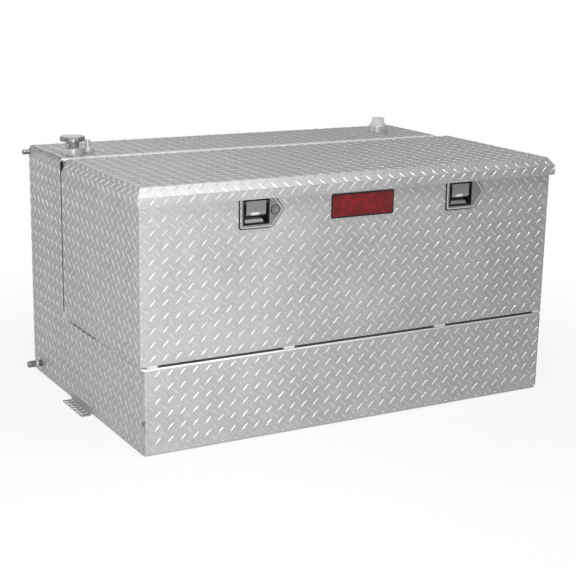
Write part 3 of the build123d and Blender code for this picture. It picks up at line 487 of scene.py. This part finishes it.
def moulded_finish(name, base, roughness, specular=0.5):
    """Moulded plastic or rubber with a fine grain and a little dust."""
    finish = Finish(name, 0.0, Specular_IOR_Level=specular)
    grain = finish.noise(700.0, 2.0, 0.5)
    dust = finish.noise(35.0, 4.0, 0.65).above(0.5, 0.75)
    finish.set("Base Color", finish.mix(
        finish.shades(base, 0.93, 1.05, grain), [min(1.0, c + 0.03) for c in base], dust * 0.5
    ))
    finish.set("Roughness", (roughness - 0.05) + dust * 0.15)
    finish.bump(grain, 0.25, 0.0002)
    return finish.material


def enamel_finish(name, base, coat):
    """A printed or painted field under a clear coat."""
    finish = Finish(name, 0.0, Coat_Weight=coat, Coat_Roughness=0.12, Specular_IOR_Level=0.25)
    tone = finish.noise(60.0, 4.0, 0.6)
    finish.set("Base Color", finish.shades(base, 0.6, 1.3, tone.above(0.35, 0.65)))
    finish.set("Roughness", 0.28 + tone * 0.16)
    finish.bump(tone, 0.1, 0.0002)
    return finish.material


def pick_nothing():
    """Leaves edit mode and deselects everything."""
    if bpy.context.mode != "OBJECT":
        bpy.ops.object.mode_set(mode="OBJECT")
    bpy.ops.object.select_all(action="DESELECT")


def pick(*objects):
    """Selects these objects alone and makes the first one active."""
    pick_nothing()
    for obj in objects:
        obj.select_set(True)
    bpy.context.view_layer.objects.active = objects[0]
    return objects[0]


def settle(obj):
    """Puts an object's place, turn and scale into its mesh."""
    pick(obj)
    bpy.ops.object.transform_apply(location=True, rotation=True, scale=True)
    return obj


def joined(objects):
    """Joins objects into the first of them."""
    obj = pick(*objects)
    if len(objects) > 1:
        bpy.ops.object.join()
    return obj


def edit_faces(obj, test):
    """Opens an object for editing with the faces picked that pass a test on centre and normal."""
    pick(obj)
    bpy.ops.object.mode_set(mode="EDIT")
    bpy.ops.mesh.select_mode(type="FACE")
    bpy.ops.mesh.select_all(action="DESELECT")
    bpy.ops.object.mode_set(mode="OBJECT")
    for face in obj.data.polygons:
        face.select = test(face.center, face.normal)
    bpy.ops.object.mode_set(mode="EDIT")


def modify(obj, kind, **settings):
    """Adds a modifier and applies it."""
    pick(obj)
    modifier = obj.modifiers.new(kind.lower(), kind)
    for key, value in settings.items():
        setattr(modifier, key, value)
    bpy.ops.object.modifier_apply(modifier=modifier.name)
    return obj


def bend_mesh(obj, place_of):
    """Moves each vertex to the place that a function gives for it."""
    for vertex in obj.data.vertices:
        vertex.co = place_of(vertex.co)
    obj.data.update()
    return obj


def edit_all(obj):
    """Opens an object for editing with all of its mesh picked."""
    pick(obj)
    bpy.ops.object.mode_set(mode="EDIT")
    bpy.ops.mesh.select_all(action="SELECT")


def repeat(obj, step, count):
    """Repeats a mesh along a step, given in metres along each axis."""
    return modify(
        obj,
        "ARRAY",
        use_relative_offset=False,
        use_constant_offset=True,
        constant_offset_displace=step,
        count=count,
    )


def face_outwards(obj):
    """Turns a mesh's faces outwards."""
    edit_all(obj)
    bpy.ops.mesh.normals_make_consistent(inside=False)
    bpy.ops.object.mode_set(mode="OBJECT")
    return obj


def keep(obj, name, body, finish, smooth=None):
    """Names a finished piece, gives it its finish and lets it ride on its body.

    Edges up to the smooth angle, in degrees, are shaded smooth."""
    settle(obj)
    if smooth:
        bpy.ops.object.shade_smooth_by_angle(angle=math.radians(smooth))
    obj.name = name
    obj.data.name = name
    obj.data.materials.clear()
    obj.data.materials.append(finish)
    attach(obj, body)
    return obj


def keep_tread(obj, name, body="tank", finish="rubbed_bar"):
    """Keeps a piece of tread, which rides with the sheet that it lies on."""
    return keep(obj, name, body, bpy.data.materials[finish], smooth=35)


def keep_weld(obj, name, finish="weld_metal"):
    """Keeps a piece of weld on the tank."""
    return keep(obj, name, "tank", bpy.data.materials[finish], smooth=50)


def trim(obj, point, outwards):
    """Cuts off what lies beyond a plane and closes the cut."""
    edit_all(obj)
    bpy.ops.mesh.bisect(plane_co=point, plane_no=outwards, use_fill=True, clear_outer=True)
    bpy.ops.object.mode_set(mode="OBJECT")


def weld_ripple(width, height, pitch):
    """One ripple of a weld: a flattened dome that leans along the run."""
    pick_nothing()
    bpy.ops.mesh.primitive_uv_sphere_add(segments=8, ring_count=6, radius=1)
    ripple = settle(bpy.context.object)
    trim(ripple, (0, 0, -0.2), (0, 0, -1))
    spread, lean = 0.85 * pitch, 0.4 * pitch
    return bend_mesh(ripple, lambda co: Vector((
        co.x * spread + co.z * lean, co.y * width / 2, co.z * height
    )))


def weld_run(sizes, start, end, outwards, width):
    """Ripples in a straight line from start to end, standing outwards."""
    start, end, outwards = Vector(start), Vector(end), Vector(outwards).normalized()
    pitch = sizes.weld_pitch
    length = (end - start).length - 2 * pitch
    count = max(2, round(length / pitch) + 1)
    run = weld_ripple(width, sizes.weld_height, pitch)
    repeat(run, (length / (count - 1), 0, 0), count)
    along = (end - start).normalized()
    return lay_flat(run, start + along * pitch, along, outwards.cross(along), outwards)


def weld_ring(sizes, centre, axis, radius, width):
    """Ripples round the foot of a round fitting."""
    pitch = min(sizes.weld_pitch, radius / 3)
    count = round(math.tau * radius / pitch)
    ring = weld_ripple(width, sizes.weld_height, pitch)
    lean = math.sqrt(0.5)
    bend_mesh(ring, lambda co: Vector((radius + (co.z - co.y) * lean, co.x, (co.z + co.y) * lean)))
    edit_all(ring)
    bpy.ops.mesh.spin(
        steps=count - 1,
        dupli=True,
        angle=math.tau * (count - 1) / count,
        center=(0, 0, 0),
        axis=(0, 0, 1),
    )
    bpy.ops.object.mode_set(mode="OBJECT")
    axis = Vector(axis)
    along = axis.orthogonal().normalized()
    return lay_flat(ring, centre, along, axis.cross(along), axis)


def rounded_face(corners, radius):
    """One flat face with rounded corners."""
    pick_nothing()
    bpy.ops.mesh.primitive_circle_add(vertices=len(corners), fill_type="NGON")
    face = settle(bpy.context.object)
    for vertex, corner in zip(face.data.vertices, corners):
        vertex.co = (*corner, 0)
    edit_all(face)
    bpy.ops.mesh.bevel(offset=radius, segments=4, affect="VERTICES")
    bpy.ops.object.mode_set(mode="OBJECT")
    return face_outwards(face)


def rounded_slab(face, thickness, edge):
    """Gives a flat face its thickness and rounds its edges."""
    modify(face, "SOLIDIFY", thickness=thickness, offset=1)
    modify(face, "BEVEL", width=edge, segments=2, limit_method="ANGLE")
    return face_outwards(face)


def open_plate(corners, radius, band, thickness, edge):
    """A flat plate with rounded corners, open inside a band that runs round it."""
    plate = rounded_face(corners, radius)
    edit_all(plate)
    bpy.ops.mesh.inset(thickness=band)
    bpy.ops.mesh.delete(type="FACE")
    bpy.ops.object.mode_set(mode="OBJECT")
    return rounded_slab(plate, thickness, edge)


def raised_bar(sizes, turn):
    """One bar of the tread: a lens with sloping flanks and a narrow crown."""
    pick_nothing()
    bpy.ops.mesh.primitive_cylinder_add(vertices=8, radius=1, depth=1, location=(0, 0, 0.5))
    bar = settle(bpy.context.object)
    sink = 0.3
    flank = 0.55
    bend_mesh(bar, lambda co: Vector((
        co.x * sizes.bar_length / 2,
        co.y * sizes.bar_width / 2,
        (co.z * (flank + sink) - sink) * sizes.bar_height,
    )))
    edit_faces(bar, lambda centre, normal: normal.z > 0.9)
    bpy.ops.transform.resize(value=(0.93, 0.72, 1))
    bpy.ops.mesh.extrude_region_move(
        TRANSFORM_OT_translate={"value": (0, 0, sizes.bar_height * (1 - flank))}
    )
    bpy.ops.transform.resize(value=(0.8, 0.36, 1))
    bpy.ops.object.mode_set(mode="OBJECT")
    bar.rotation_euler.z = math.radians(turn)
    return settle(bar)


def tread_field(sizes, low, high, phase=(0.0, 0.0), cuts=()):
    """Bars over a flat rectangle from low to high, trimmed at its sides and at extra cut planes.

    The phase shifts the pattern, in metres."""
    pitch = sizes.tread_pitch
    rising = raised_bar(sizes, 45)
    falling = raised_bar(sizes, -45)
    falling.location = (pitch / 2, pitch / 2, 0)
    field = joined([settle(rising), settle(falling)])
    start = [math.floor((low[k] - phase[k]) / pitch) * pitch + phase[k] - pitch for k in (0, 1)]
    for axis in (0, 1):
        step = [0, 0, 0]
        step[axis] = pitch
        repeat(field, step, math.ceil((high[axis] - start[axis]) / pitch) + 1)
    field.location = (start[0], start[1], 0)
    settle(field)
    for point, outwards in (
        ((low[0], 0, 0), (-1, 0, 0)),
        ((high[0], 0, 0), (1, 0, 0)),
        ((0, low[1], 0), (0, -1, 0)),
        ((0, high[1], 0), (0, 1, 0)),
        *cuts,
    ):
        trim(field, point, outwards)
    return field


def herringbone(sizes, length):
    """Two rows of small bars that lean towards each other, as on a narrow strip of plate."""
    share, apart = 0.62, 0.36
    end_margin = 0.001
    pitch = sizes.tread_pitch * share
    bars = []
    for lean, side in ((45, 1), (-45, -1)):
        bar = raised_bar(sizes, lean)
        bar.scale = (share, share, 1)
        bar.location.x = side * pitch * apart
        bars.append(settle(bar))
    row = joined(bars)
    count = math.ceil(length / pitch) + 1
    repeat(row, (0, pitch, 0), count)
    row.location.y = -pitch * (count - 1) / 2
    settle(row)
    for side in (-1, 1):
        trim(row, (0, side * (length / 2 - end_margin), 0), (0, side, 0))
    return row


def recess_middle(side):
    """Middle of a latch's recess, across and up: the plate's point leaves it off the plate's middle."""
    low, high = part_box(f"latch_pan_{side}")
    return low[0] + RECESS_INSET, (low[2] + high[2]) / 2


def clear_round(field, fitting):
    """Takes away what lies under a round fitting and its weld."""
    spare = 0.003
    low, high = (Vector(corner) for corner in fitting)
    middle = (low + high) / 2
    reach = (high.x - low.x) / 2 + spare
    edit_faces(field, lambda centre, normal: math.hypot(centre.x - middle.x, centre.y - middle.y) < reach)
    bpy.ops.mesh.delete(type="FACE")
    bpy.ops.object.mode_set(mode="OBJECT")


def clear_recess(field, x, z, sizes):
    """Takes away the bars that reach over a latch's recess."""
    spare = 0.001
    edit_faces(field, lambda centre, normal: (
        abs(centre.x - x) < sizes.recess_width / 2 + spare
        and abs(centre.z - z) < sizes.recess_height / 2 + spare
    ))
    bpy.ops.mesh.select_linked()
    bpy.ops.mesh.delete(type="VERT")
    bpy.ops.object.mode_set(mode="OBJECT")


def lay_flat(field, origin, along, up, outwards):
    """Lays a flat field on a plane face."""
    origin, along, up, outwards = (Vector(v) for v in (origin, along, up, outwards))
    return bend_mesh(field, lambda co: origin + along * co.x + up * co.y + outwards * co.z)


def lay_in_front(field, origin):
    """Lays a flat field on a face that looks forwards."""
    return lay_flat(field, origin, (1, 0, 0), (0, 0, 1), (0, -1, 0))


def lay_at_end(field, x, sign, y=0, z=0):
    """Lays a flat field on an end face: the left one for sign -1, the right one for 1."""
    return lay_flat(field, (x, y, z), (0, 1, 0), (0, 0, 1), (sign, 0, 0))


class LayLidTread(Operator):
    """Lays tread over the lid: front flange, bevel, top, rolled rear edge and both ends"""

    bl_idname = "transfer_tank.lay_lid_tread"
    bl_label = "Lid tread"

    def execute(self, context):
        sizes = context.scene.tank_sizes
        low, high = LID
        flange = high[2] - sizes.lid_bevel_drop - low[2]
        bevel = math.hypot(sizes.lid_bevel_drop, sizes.lid_bevel_front)
        roll_y = high[1] - sizes.lid_roll_radius * math.sin(ROLL_TURN)
        flat = roll_y - (low[1] + sizes.lid_bevel_front)
        roll = sizes.lid_roll_radius * ROLL_COVERED
        half = high[0]
        inner_half = half - sizes.lid_bevel_end
        slope = Vector((0, sizes.lid_bevel_front, sizes.lid_bevel_drop)).normalized()
        facing = Vector((0, -slope.z, slope.y))

        def wrap(co):
            v = co.y
            if v <= flange:
                return Vector((co.x, low[1] - co.z, low[2] + v))
            if v <= flange + bevel:
                edge = Vector((co.x, low[1], low[2] + flange))
                return edge + slope * (v - flange) + facing * co.z
            v -= flange + bevel
            if v <= flat:
                return Vector((co.x, low[1] + sizes.lid_bevel_front + v, high[2] + co.z))
            turn = (v - flat) / sizes.lid_roll_radius
            radius = sizes.lid_roll_radius + co.z
            centre_z = high[2] - sizes.lid_roll_radius
            return Vector((co.x, roll_y + radius * math.sin(turn), centre_z + radius * math.cos(turn)))

        gap, margin = 0.0005, 0.001
        row_shift = 0.010
        phase = (0.0, flange - row_shift)
        flange_part = tread_field(sizes, (-half, margin), (half, flange - gap), phase)
        mitres = [
            ((sign * half, flange, 0), (sign * bevel, sizes.lid_bevel_end, 0)) for sign in (-1, 1)
        ]
        bevel_part = tread_field(
            sizes, (-half, flange + gap), (half, flange + bevel - gap), phase, mitres
        )
        top_part = tread_field(
            sizes, (-inner_half, flange + bevel + gap), (inner_half, flange + bevel + flat + roll), phase
        )
        pieces = [bend_mesh(part, wrap) for part in (flange_part, bevel_part, top_part)]
        keep_tread(joined(pieces), "tread_lid", "lid")

        ends = []
        end_bevel = math.hypot(sizes.lid_bevel_drop, sizes.lid_bevel_end)
        run = roll_y - low[1]
        across_shift = 0.005
        for sign in (-1, 1):
            end_flange = tread_field(
                sizes, (margin, margin), (run, flange - gap), (across_shift, flange - row_shift)
            )
            ends.append(lay_at_end(end_flange, sign * half, sign, low[1], low[2]))
            mitre = ((0, 0, 0), (-end_bevel, sizes.lid_bevel_front, 0))
            end_slope = tread_field(
                sizes, (0, gap), (run, end_bevel - gap), (across_shift, -row_shift), [mitre]
            )
            up = Vector((-sign * sizes.lid_bevel_end, 0, sizes.lid_bevel_drop)).normalized()
            out = Vector((sign * up.z, 0, abs(up.x)))
            corner = (sign * half, low[1], low[2] + flange)
            ends.append(lay_flat(end_slope, corner, (0, 1, 0), up, out))
        keep_tread(face_outwards(joined(ends)), "tread_lid_ends", "lid")
        return {"FINISHED"}


class LayToolboxTread(Operator):
    """Lays tread on the toolbox's front and ends"""

    bl_idname = "transfer_tank.lay_toolbox_tread"
    bl_label = "Toolbox tread"

    def execute(self, context):
        sizes = context.scene.tank_sizes
        low, high = TOOLBOX
        bend, margin = 0.0045, 0.001
        field = tread_field(
            sizes,
            (low[0] + margin, low[2] + bend),
            (high[0] - margin, high[2] - bend),
            phase=(0.002, 0.006),
        )
        front = lay_in_front(field, (0, low[1], 0))
        for side in ("left", "right"):
            clear_recess(front, *recess_middle(side), sizes)
        keep_tread(front, "tread_toolbox_front")
        ends = []
        under_lid = 0.030
        for side, sign in (("left", -1), ("right", 1)):
            near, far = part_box(f"toolbox_end_{side}")
            field = tread_field(
                sizes,
                (near[1] + bend, low[2] + margin),
                (far[1] - 2 * margin, far[2] - under_lid),
                phase=(0.009, 0.006),
            )
            ends.append(lay_at_end(field, sign * high[0], sign))
        keep_tread(face_outwards(joined(ends)), "tread_toolbox_ends")
        return {"FINISHED"}


class LayTankTread(Operator):
    """Lays tread on the tank's front, ends, rear and tower top, and a herringbone on its feet"""

    bl_idname = "transfer_tank.lay_tank_tread"
    bl_label = "Tank tread"

    def execute(self, context):
        sizes = context.scene.tank_sizes
        low, high = TANK
        bend = sizes.fold
        deck, step = sizes.deck_height, high[1] - sizes.tower_depth
        margin = 0.002
        left, right = low[0] + margin, high[0] - margin
        field = tread_field(sizes, (left, bend), (right, deck - bend), phase=(0.010, 0.003))
        keep_tread(lay_in_front(field, (0, low[1], 0)), "tread_tank_front")
        field = tread_field(sizes, (left, step + bend), (right, high[1] - margin), phase=(0.004, 0.007))
        top = lay_flat(field, (0, 0, high[2]), (1, 0, 0), (0, 1, 0), (0, 0, 1))
        for bung in BUNGS:
            clear_round(top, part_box(bung))
        keep_tread(top, "tread_tower_top")
        field = tread_field(sizes, (left, margin), (right, high[2] - margin), phase=(0.006, 0.012))
        rear = lay_flat(field, (0, REAR[1][1], 0), (-1, 0, 0), (0, 0, 1), (0, 1, 0))
        keep_tread(rear, "tread_tank_rear")
        ends = []
        edge = END_SLOPE + margin
        for sign in (-1, 1):
            for near, far in (
                ((low[1] + edge, edge), (high[1] - edge, deck - margin)),
                ((step + margin, deck - margin), (high[1] - edge, high[2] - edge)),
            ):
                field = tread_field(sizes, near, far, phase=(0.011, 0.004))
                ends.append(lay_at_end(field, sign * (high[0] + END_SLOPE), sign))
        keep_tread(face_outwards(joined(ends)), "tread_tank_ends")
        feet = []
        inset, foot_sheet = 0.0165, 0.0032
        for side, sign in (("left", -1), ("right", 1)):
            low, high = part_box(f"foot_{side}")
            inner = high[0] if sign < 0 else low[0]
            row = herringbone(sizes, high[1] - low[1])
            middle = (inner + sign * inset, (low[1] + high[1]) / 2, low[2] + foot_sheet)
            feet.append(lay_flat(row, middle, (sign, 0, 0), (0, 1, 0), (0, 0, 1)))
        keep_tread(face_outwards(joined(feet)), "tread_feet", finish="foot_bar")
        return {"FINISHED"}


class LayWelds(Operator):
    """Lays rippled welds along the tank's corners, the toolbox's seams, the feet and the fittings"""

    bl_idname = "transfer_tank.lay_welds"
    bl_label = "Welds"

    def execute(self, context):
        sizes = context.scene.tank_sizes
        low, high = TANK
        slope, half = END_SLOPE, END_SLOPE / 2
        front, rear, top = low[1], high[1], high[2]
        deck, step = sizes.deck_height, high[1] - sizes.tower_depth
        runs = (
            ((front + slope, half), (rear - slope, half), (0, -1)),
            ((rear - half, slope), (rear - half, top - slope), (1, 0)),
            ((rear - slope, top - half), (step + half, top - half), (0, 1)),
            ((front + half, deck - half), (front + half, slope), (-1, 0)),
        )
        thin = sizes.fitting_weld_width
        proud = 0.0012
        for side, sign in (("left", -1), ("right", 1)):
            x = sign * (high[0] + half)
            corners = [
                weld_run(sizes, (x, *start), (x, *end), (sign, *facing), sizes.corner_weld_width)
                for start, end, facing in runs
            ]
            keep_weld(joined(corners), f"corner_welds_{side}", "sooty_weld")
            near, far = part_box(f"foot_{side}")
            x = sign * (high[0] + slope + proud)
            foot = weld_run(sizes, (x, near[1], far[2]), (x, far[1], far[2]), (sign, 0, 1), thin)
            keep_weld(foot, f"foot_weld_{side}")

        box_front = TOOLBOX[0][1]
        lift, under = 0.0026, 0.0011
        y, z = box_front - lift, deck + lift
        stitches = [
            weld_run(sizes, (start / 1000, y, z), (end / 1000, y, z), (0, -1, 1), sizes.stitch_width)
            for start, end in STITCHES_FRONT
        ]
        z = deck - under
        for sign in (-1, 1):
            x = sign * (high[0] + slope + under)
            for start, end in STITCHES_END:
                near, far = box_front + start / 1000, box_front + end / 1000
                stitches.append(weld_run(sizes, (x, near, z), (x, far, z), (sign, 0, -1), thin))
        keep_weld(joined(stitches), "stitch_welds")

        inset = 0.0035
        seams = [
            weld_run(sizes, (low[0], rear, z), (high[0], rear, z), (0, 1, 0), thin)
            for z in (inset, top - inset)
        ]
        keep_weld(joined(seams), "rear_seam_welds")

        rings = []
        port_proud, port_weld = 0.0008, thin * 0.7
        for name in BUNGS:
            near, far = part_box(name)
            middle = ((near[0] + far[0]) / 2, (near[1] + far[1]) / 2, near[2])
            radius = (far[0] - near[0]) / 2 + proud
            rings.append(weld_ring(sizes, middle, (0, 0, 1), radius, thin))
        for name in ("gauge_port_low", "gauge_port_high"):
            near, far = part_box(name)
            middle = (far[0], (near[1] + far[1]) / 2, (near[2] + far[2]) / 2)
            radius = (far[1] - near[1]) / 2 + port_proud
            rings.append(weld_ring(sizes, middle, (-1, 0, 0), radius, port_weld))
        keep_weld(joined(rings), "fitting_welds", "sooty_weld")
        return {"FINISHED"}


class DressLatches(Operator):
    """Adds each latch's raised rim, rubber seal and scoop, and the red field of the plain plate"""

    bl_idname = "transfer_tank.dress_latches"
    bl_label = "Latches and plate"

    def execute(self, context):
        sizes = context.scene.tank_sizes
        steel = bpy.data.materials["bright_rim"]
        scoop_steel = bpy.data.materials["scoop_steel"]
        rubber = bpy.data.materials["black_rubber"]
        for side in ("left", "right"):
            low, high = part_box(f"latch_pan_{side}")
            x, z = recess_middle(side)
            top = (high[2] - low[2]) / 2
            left, point = low[0] - x, high[0] - x
            corners = ((left, -top), (SHOULDER, -top), (point, 0), (SHOULDER, top), (left, top))
            rim = open_plate(corners, radius=0.006, band=sizes.latch_rim, thickness=0.0013, edge=0.0005)
            rim = lay_in_front(rim, (x, low[1], z))
            keep(face_outwards(rim), f"latch_rim_{side}", "tank", steel, 40)

            spread = 0.0030
            shoulder = SHOULDER + spread / 2
            corners = (
                (left - spread, -top - spread),
                (shoulder, -top - spread),
                (point + spread * 1.4, 0),
                (shoulder, top + spread),
                (left - spread, top + spread),
            )
            seal = open_plate(corners, radius=0.0075, band=0.0048, thickness=0.0018, edge=0.0004)
            seal = lay_in_front(seal, (x, TOOLBOX[0][1], z))
            keep(face_outwards(seal), f"latch_seal_{side}", "tank", rubber, 40)

            pick_nothing()
            bpy.ops.mesh.primitive_grid_add(x_subdivisions=4, y_subdivisions=10, size=1)
            scoop = settle(context.object)
            scoop_left, scoop_width = x - 0.0305, 0.050
            mouth_y, scoop_depth = low[1] + 0.001, 0.0185
            mouth_z, scoop_rise = z - sizes.recess_height / 2 + 0.0015, 0.0105

            def curve(co):
                turn = (co.y + 0.5) * math.pi / 2
                return Vector((
                    scoop_left + (co.x + 0.5) * scoop_width,
                    mouth_y + scoop_depth * (1 - math.cos(turn)),
                    mouth_z + scoop_rise * math.sin(turn),
                ))

            bend_mesh(scoop, curve)
            modify(scoop, "SOLIDIFY", thickness=0.001, offset=0)
            keep(face_outwards(scoop), f"latch_scoop_{side}", "tank", scoop_steel, 60)

        low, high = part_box("panel_plate")
        border = sizes.plate_border
        across = (high[0] - low[0]) / 2 - border
        rise = (high[2] - low[2]) / 2 - border
        corners = ((-across, -rise), (across, -rise), (across, rise), (-across, rise))
        field = rounded_slab(rounded_face(corners, radius=0.003), thickness=0.0004, edge=0.0001)
        field = lay_in_front(field, ((low[0] + high[0]) / 2, low[1], (low[2] + high[2]) / 2))
        keep(face_outwards(field), "plate_field", "tank", bpy.data.materials["red_field"])
        return {"FINISHED"}


class FinishNodes(Operator):
    """Gives every carried-over part its finish"""

    bl_idname = "transfer_tank.finish_nodes"
    bl_label = "Finishes"

    def execute(self, context):
        colours = context.scene.tank_colours
        sizes = context.scene.tank_sizes
        sheet = sheet_finish("mill_sheet", colours.sheet, sizes)
        feet = sheet_finish("shaded_foot", colours.foot, sizes)
        bar_finish("rubbed_bar", colours.bar, 0.55)
        # The feet's bars: partly worn, partly painted highlight
        bar_finish("foot_bar", colours.foot_bar, 0.1)
        smooth = inner_finish(colours)
        weld = weld_finish("weld_metal", colours.weld, 0.5)
        weld_finish("sooty_weld", colours.sooty_weld, 0.9)
        bung = turned_finish("turned_aluminium", colours.bung, 0.34, 0.4)
        cap = cap_finish("turned_cap", colours.cap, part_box("filler_cap"))
        thread_pitch = 0.0042
        neck = threaded_finish("threaded_neck", colours.neck, thread_pitch)
        turned_finish("bright_rim", colours.rim, 0.24)
        turned_finish("scoop_steel", colours.steel, 0.34, 0.5)
        recesses = [recess_middle(side) for side in ("left", "right")]
        pan = latch_pan_finish(colours.steel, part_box("latch_pan_left")[0][1], recesses, sizes)
        paddle = paddle_finish(colours.steel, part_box("latch_paddle_left")[0][2], recesses)
        near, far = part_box("lock_case")
        lock = lock_finish(colours.lock_ring, colours.lock, ((near[0] + far[0]) / 2, (near[2] + far[2]) / 2))
        plating = turned_finish("bright_plating", (0.62, 0.62, 0.63), 0.16, 1.0)
        zinc = turned_finish("zinc_plate", (0.52, 0.52, 0.50), 0.4)
        hexagon_inner, hexagon_outer = 0.6120, 0.6225
        port = port_finish("plated_port", colours.port, hexagon_inner, hexagon_outer)
        knob = turned_finish("port_cap", colours.port_cap, 0.26, 0.7)
        white = moulded_finish("white_plastic", colours.white, 0.5)
        black = (0.02, 0.02, 0.02)
        rubber = moulded_finish("black_rubber", black, 0.75, 0.3)
        near_black = enamel_finish("black_paint", black, 0.4)
        enamel_finish("red_field", colours.red, 0.25)
        border = enamel_finish("dark_border", colours.dark, 0.1)
        finishes = {
            "sheet": sheet,
            "plain_sheet": smooth,
            "weld": weld,
            "fitting": bung,
            "cap": cap,
            "vent": bung,
            "plug": white,
            "port": port,
            "hinge": zinc,
            "latch": pan,
            "lock": lock,
            "zinc": zinc,
            "seal": rubber,
            "tube": near_black,
            "rod": plating,
            "plate": border,
        }
        by_name = {
            "foot": feet,
            "latch_paddle": paddle,
            "gauge_cap": knob,
            "filler_neck": neck,
            "pump_washer": white,
        }
        slots = {row["node"]: row["material_slot"] for row in frame["record"]["subparts"]}
        for name, node in frame["nodes"].items():
            finish = finishes[slots[name]]
            for start, other in by_name.items():
                if name.startswith(start):
                    finish = other
            node.data.materials.clear()
            node.data.materials.append(finish)
        return {"FINISHED"}


class SetStage(Operator):
    """Sets the pale floor, the soft lamps, the white surroundings and the camera"""

    bl_idname = "transfer_tank.set_stage"
    bl_label = "Stage"

    def execute(self, context):
        pick_nothing()
        bpy.ops.mesh.primitive_plane_add(size=30, location=(0, 0, -0.0005))
        floor = settle(context.object)
        floor.name = "studio_floor"
        finish = Finish("studio_floor", 0.0)
        finish.set("Base Color", (0.9, 0.9, 0.9))
        finish.set("Roughness", 0.8)
        rays = finish.node("ShaderNodeLightPath", {}, {})
        seen = Wire(finish, rays.outputs["Is Camera Ray"])
        glossy = Wire(finish, rays.outputs["Is Glossy Ray"])
        clear = Wire(finish, rays.outputs["Is Transmission Ray"])
        reach = finish.node("ShaderNodeVectorMath", {"operation": "LENGTH"}, {0: finish.place})
        distant = Wire(finish, reach.outputs["Value"]).above(0.75, 1.7)
        white = finish.node("ShaderNodeEmission", {}, {"Color": (1, 1, 1), "Strength": 1.0})
        blend = finish.node("ShaderNodeMixShader", {}, {
            0: (seen + clear).above(0, 1) * (0.86 + distant * 0.14) + glossy * 0.6,
            1: Wire(finish, finish.shader.outputs[0]),
            2: Wire(finish, white.outputs[0]),
        })
        output = finish.tree.nodes["Material Output"]
        finish.tree.links.new(blend.outputs[0], output.inputs["Surface"])
        floor.data.materials.append(finish.material)

        sky = Surroundings("studio_world")
        context.scene.world = sky.world
        rays = sky.node("ShaderNodeLightPath", {}, {})
        seen = Wire(sky, rays.outputs["Is Camera Ray"])
        clear = Wire(sky, rays.outputs["Is Transmission Ray"])
        glossy = Wire(sky, rays.outputs["Is Glossy Ray"])
        white = (seen + clear).above(0, 1)
        # What the metal mirrors: pale low down, darker higher up and to the right, bright overhead in front
        rise = sky.along("Z")
        leftwards = 1.0 - sky.along("X").above(0.3, 0.65) * 0.42
        forward = 2.4 - sky.along("Y").above(-0.35, 0.15) * 2.0
        ceiling = (1.35 - rise.above(0.0, 0.24) * 0.6) * leftwards + rise.above(0.70, 0.88) * forward
        sky.set("Strength", white + (1 - white) * (glossy * ceiling + (1 - glossy) * 0.20))

        for name, place, target, size, power in (
            ("near_softbox", (-1.0, -1.62, 0.66), (-0.58, -0.4, 0.22), 0.5, 19),
            ("left_softbox", (-2.5, 1.4, 1.2), (-0.6, 0, 0.4), 0.8, 14),
            ("high_softbox", (0.15, -1.1, 2.3), (-0.6, -0.4, 0.65), 0.4, 12),
            ("right_softbox", (3.0, -0.9, 1.6), (0.6, 0, 0.4), 1.4, 2.5),
            ("rear_softbox", (0.4, 2.9, 2.6), (0, 0.3, 0.3), 1.6, 9),
        ):
            data = bpy.data.lights.new(name, "AREA")
            data.shape = "SQUARE"
            data.size = size
            data.energy = power
            lamp = bpy.data.objects.new(name, data)
            lamp.location = place
            lamp.rotation_euler = (Vector(target) - Vector(place)).to_track_quat("-Z", "Y").to_euler()
            lamp.visible_camera = False
            context.collection.objects.link(lamp)

        back = Vector((-0.4787, -0.8427, 0.2463)).normalized()
        right = Vector((0, 0, 1)).cross(back).normalized()
        up = back.cross(right)
        roll = math.radians(1.067)
        turned_right = right * math.cos(roll) + up * math.sin(roll)
        turned_up = back.cross(turned_right)
        data = bpy.data.cameras.new("photo_camera")
        data.lens = 83.81
        data.sensor_width = 36
        data.sensor_fit = "HORIZONTAL"
        data.clip_end = 60
        camera = bpy.data.objects.new("photo_camera", data)
        camera.matrix_world = Matrix.Translation((-1.8195, -3.2259, 1.2101)) @ Matrix(
            (turned_right, turned_up, back)
        ).transposed().to_4x4()
        context.collection.objects.link(camera)
        context.scene.camera = camera
        context.scene.view_settings.view_transform = "Standard"
        return {"FINISHED"}


class TankPanel(Panel):
    """Lists the tank's settings and steps"""

    bl_idname = "VIEW3D_PT_transfer_tank"
    bl_label = "Transfer tank"
    bl_space_type = "VIEW_3D"
    bl_region_type = "UI"
    bl_category = "Tank"

    def draw(self, context):
        layout = self.layout
        for group in (context.scene.tank_sizes, context.scene.tank_colours):
            column = layout.column()
            for name in group.__annotations__:
                column.prop(group, name)
        for step in STEPS:
            layout.operator(step.bl_idname)


STEPS = (
    FinishNodes,
    LayLidTread,
    LayToolboxTread,
    LayTankTread,
    LayWelds,
    DressLatches,
    SetStage,
)
CLASSES = (TankSizes, TankColours, *STEPS, TankPanel)


def register():
    for item in CLASSES:
        bpy.utils.register_class(item)
    bpy.types.Scene.tank_sizes = PointerProperty(type=TankSizes)
    bpy.types.Scene.tank_colours = PointerProperty(type=TankColours)


def unregister():
    del bpy.types.Scene.tank_colours
    del bpy.types.Scene.tank_sizes
    for item in reversed(CLASSES):
        bpy.utils.unregister_class(item)


def main():
    register()
    for step in STEPS:
        group, name = step.bl_idname.split(".")
        getattr(getattr(bpy.ops, group), name)()


if __name__ == "__main__":
    main()
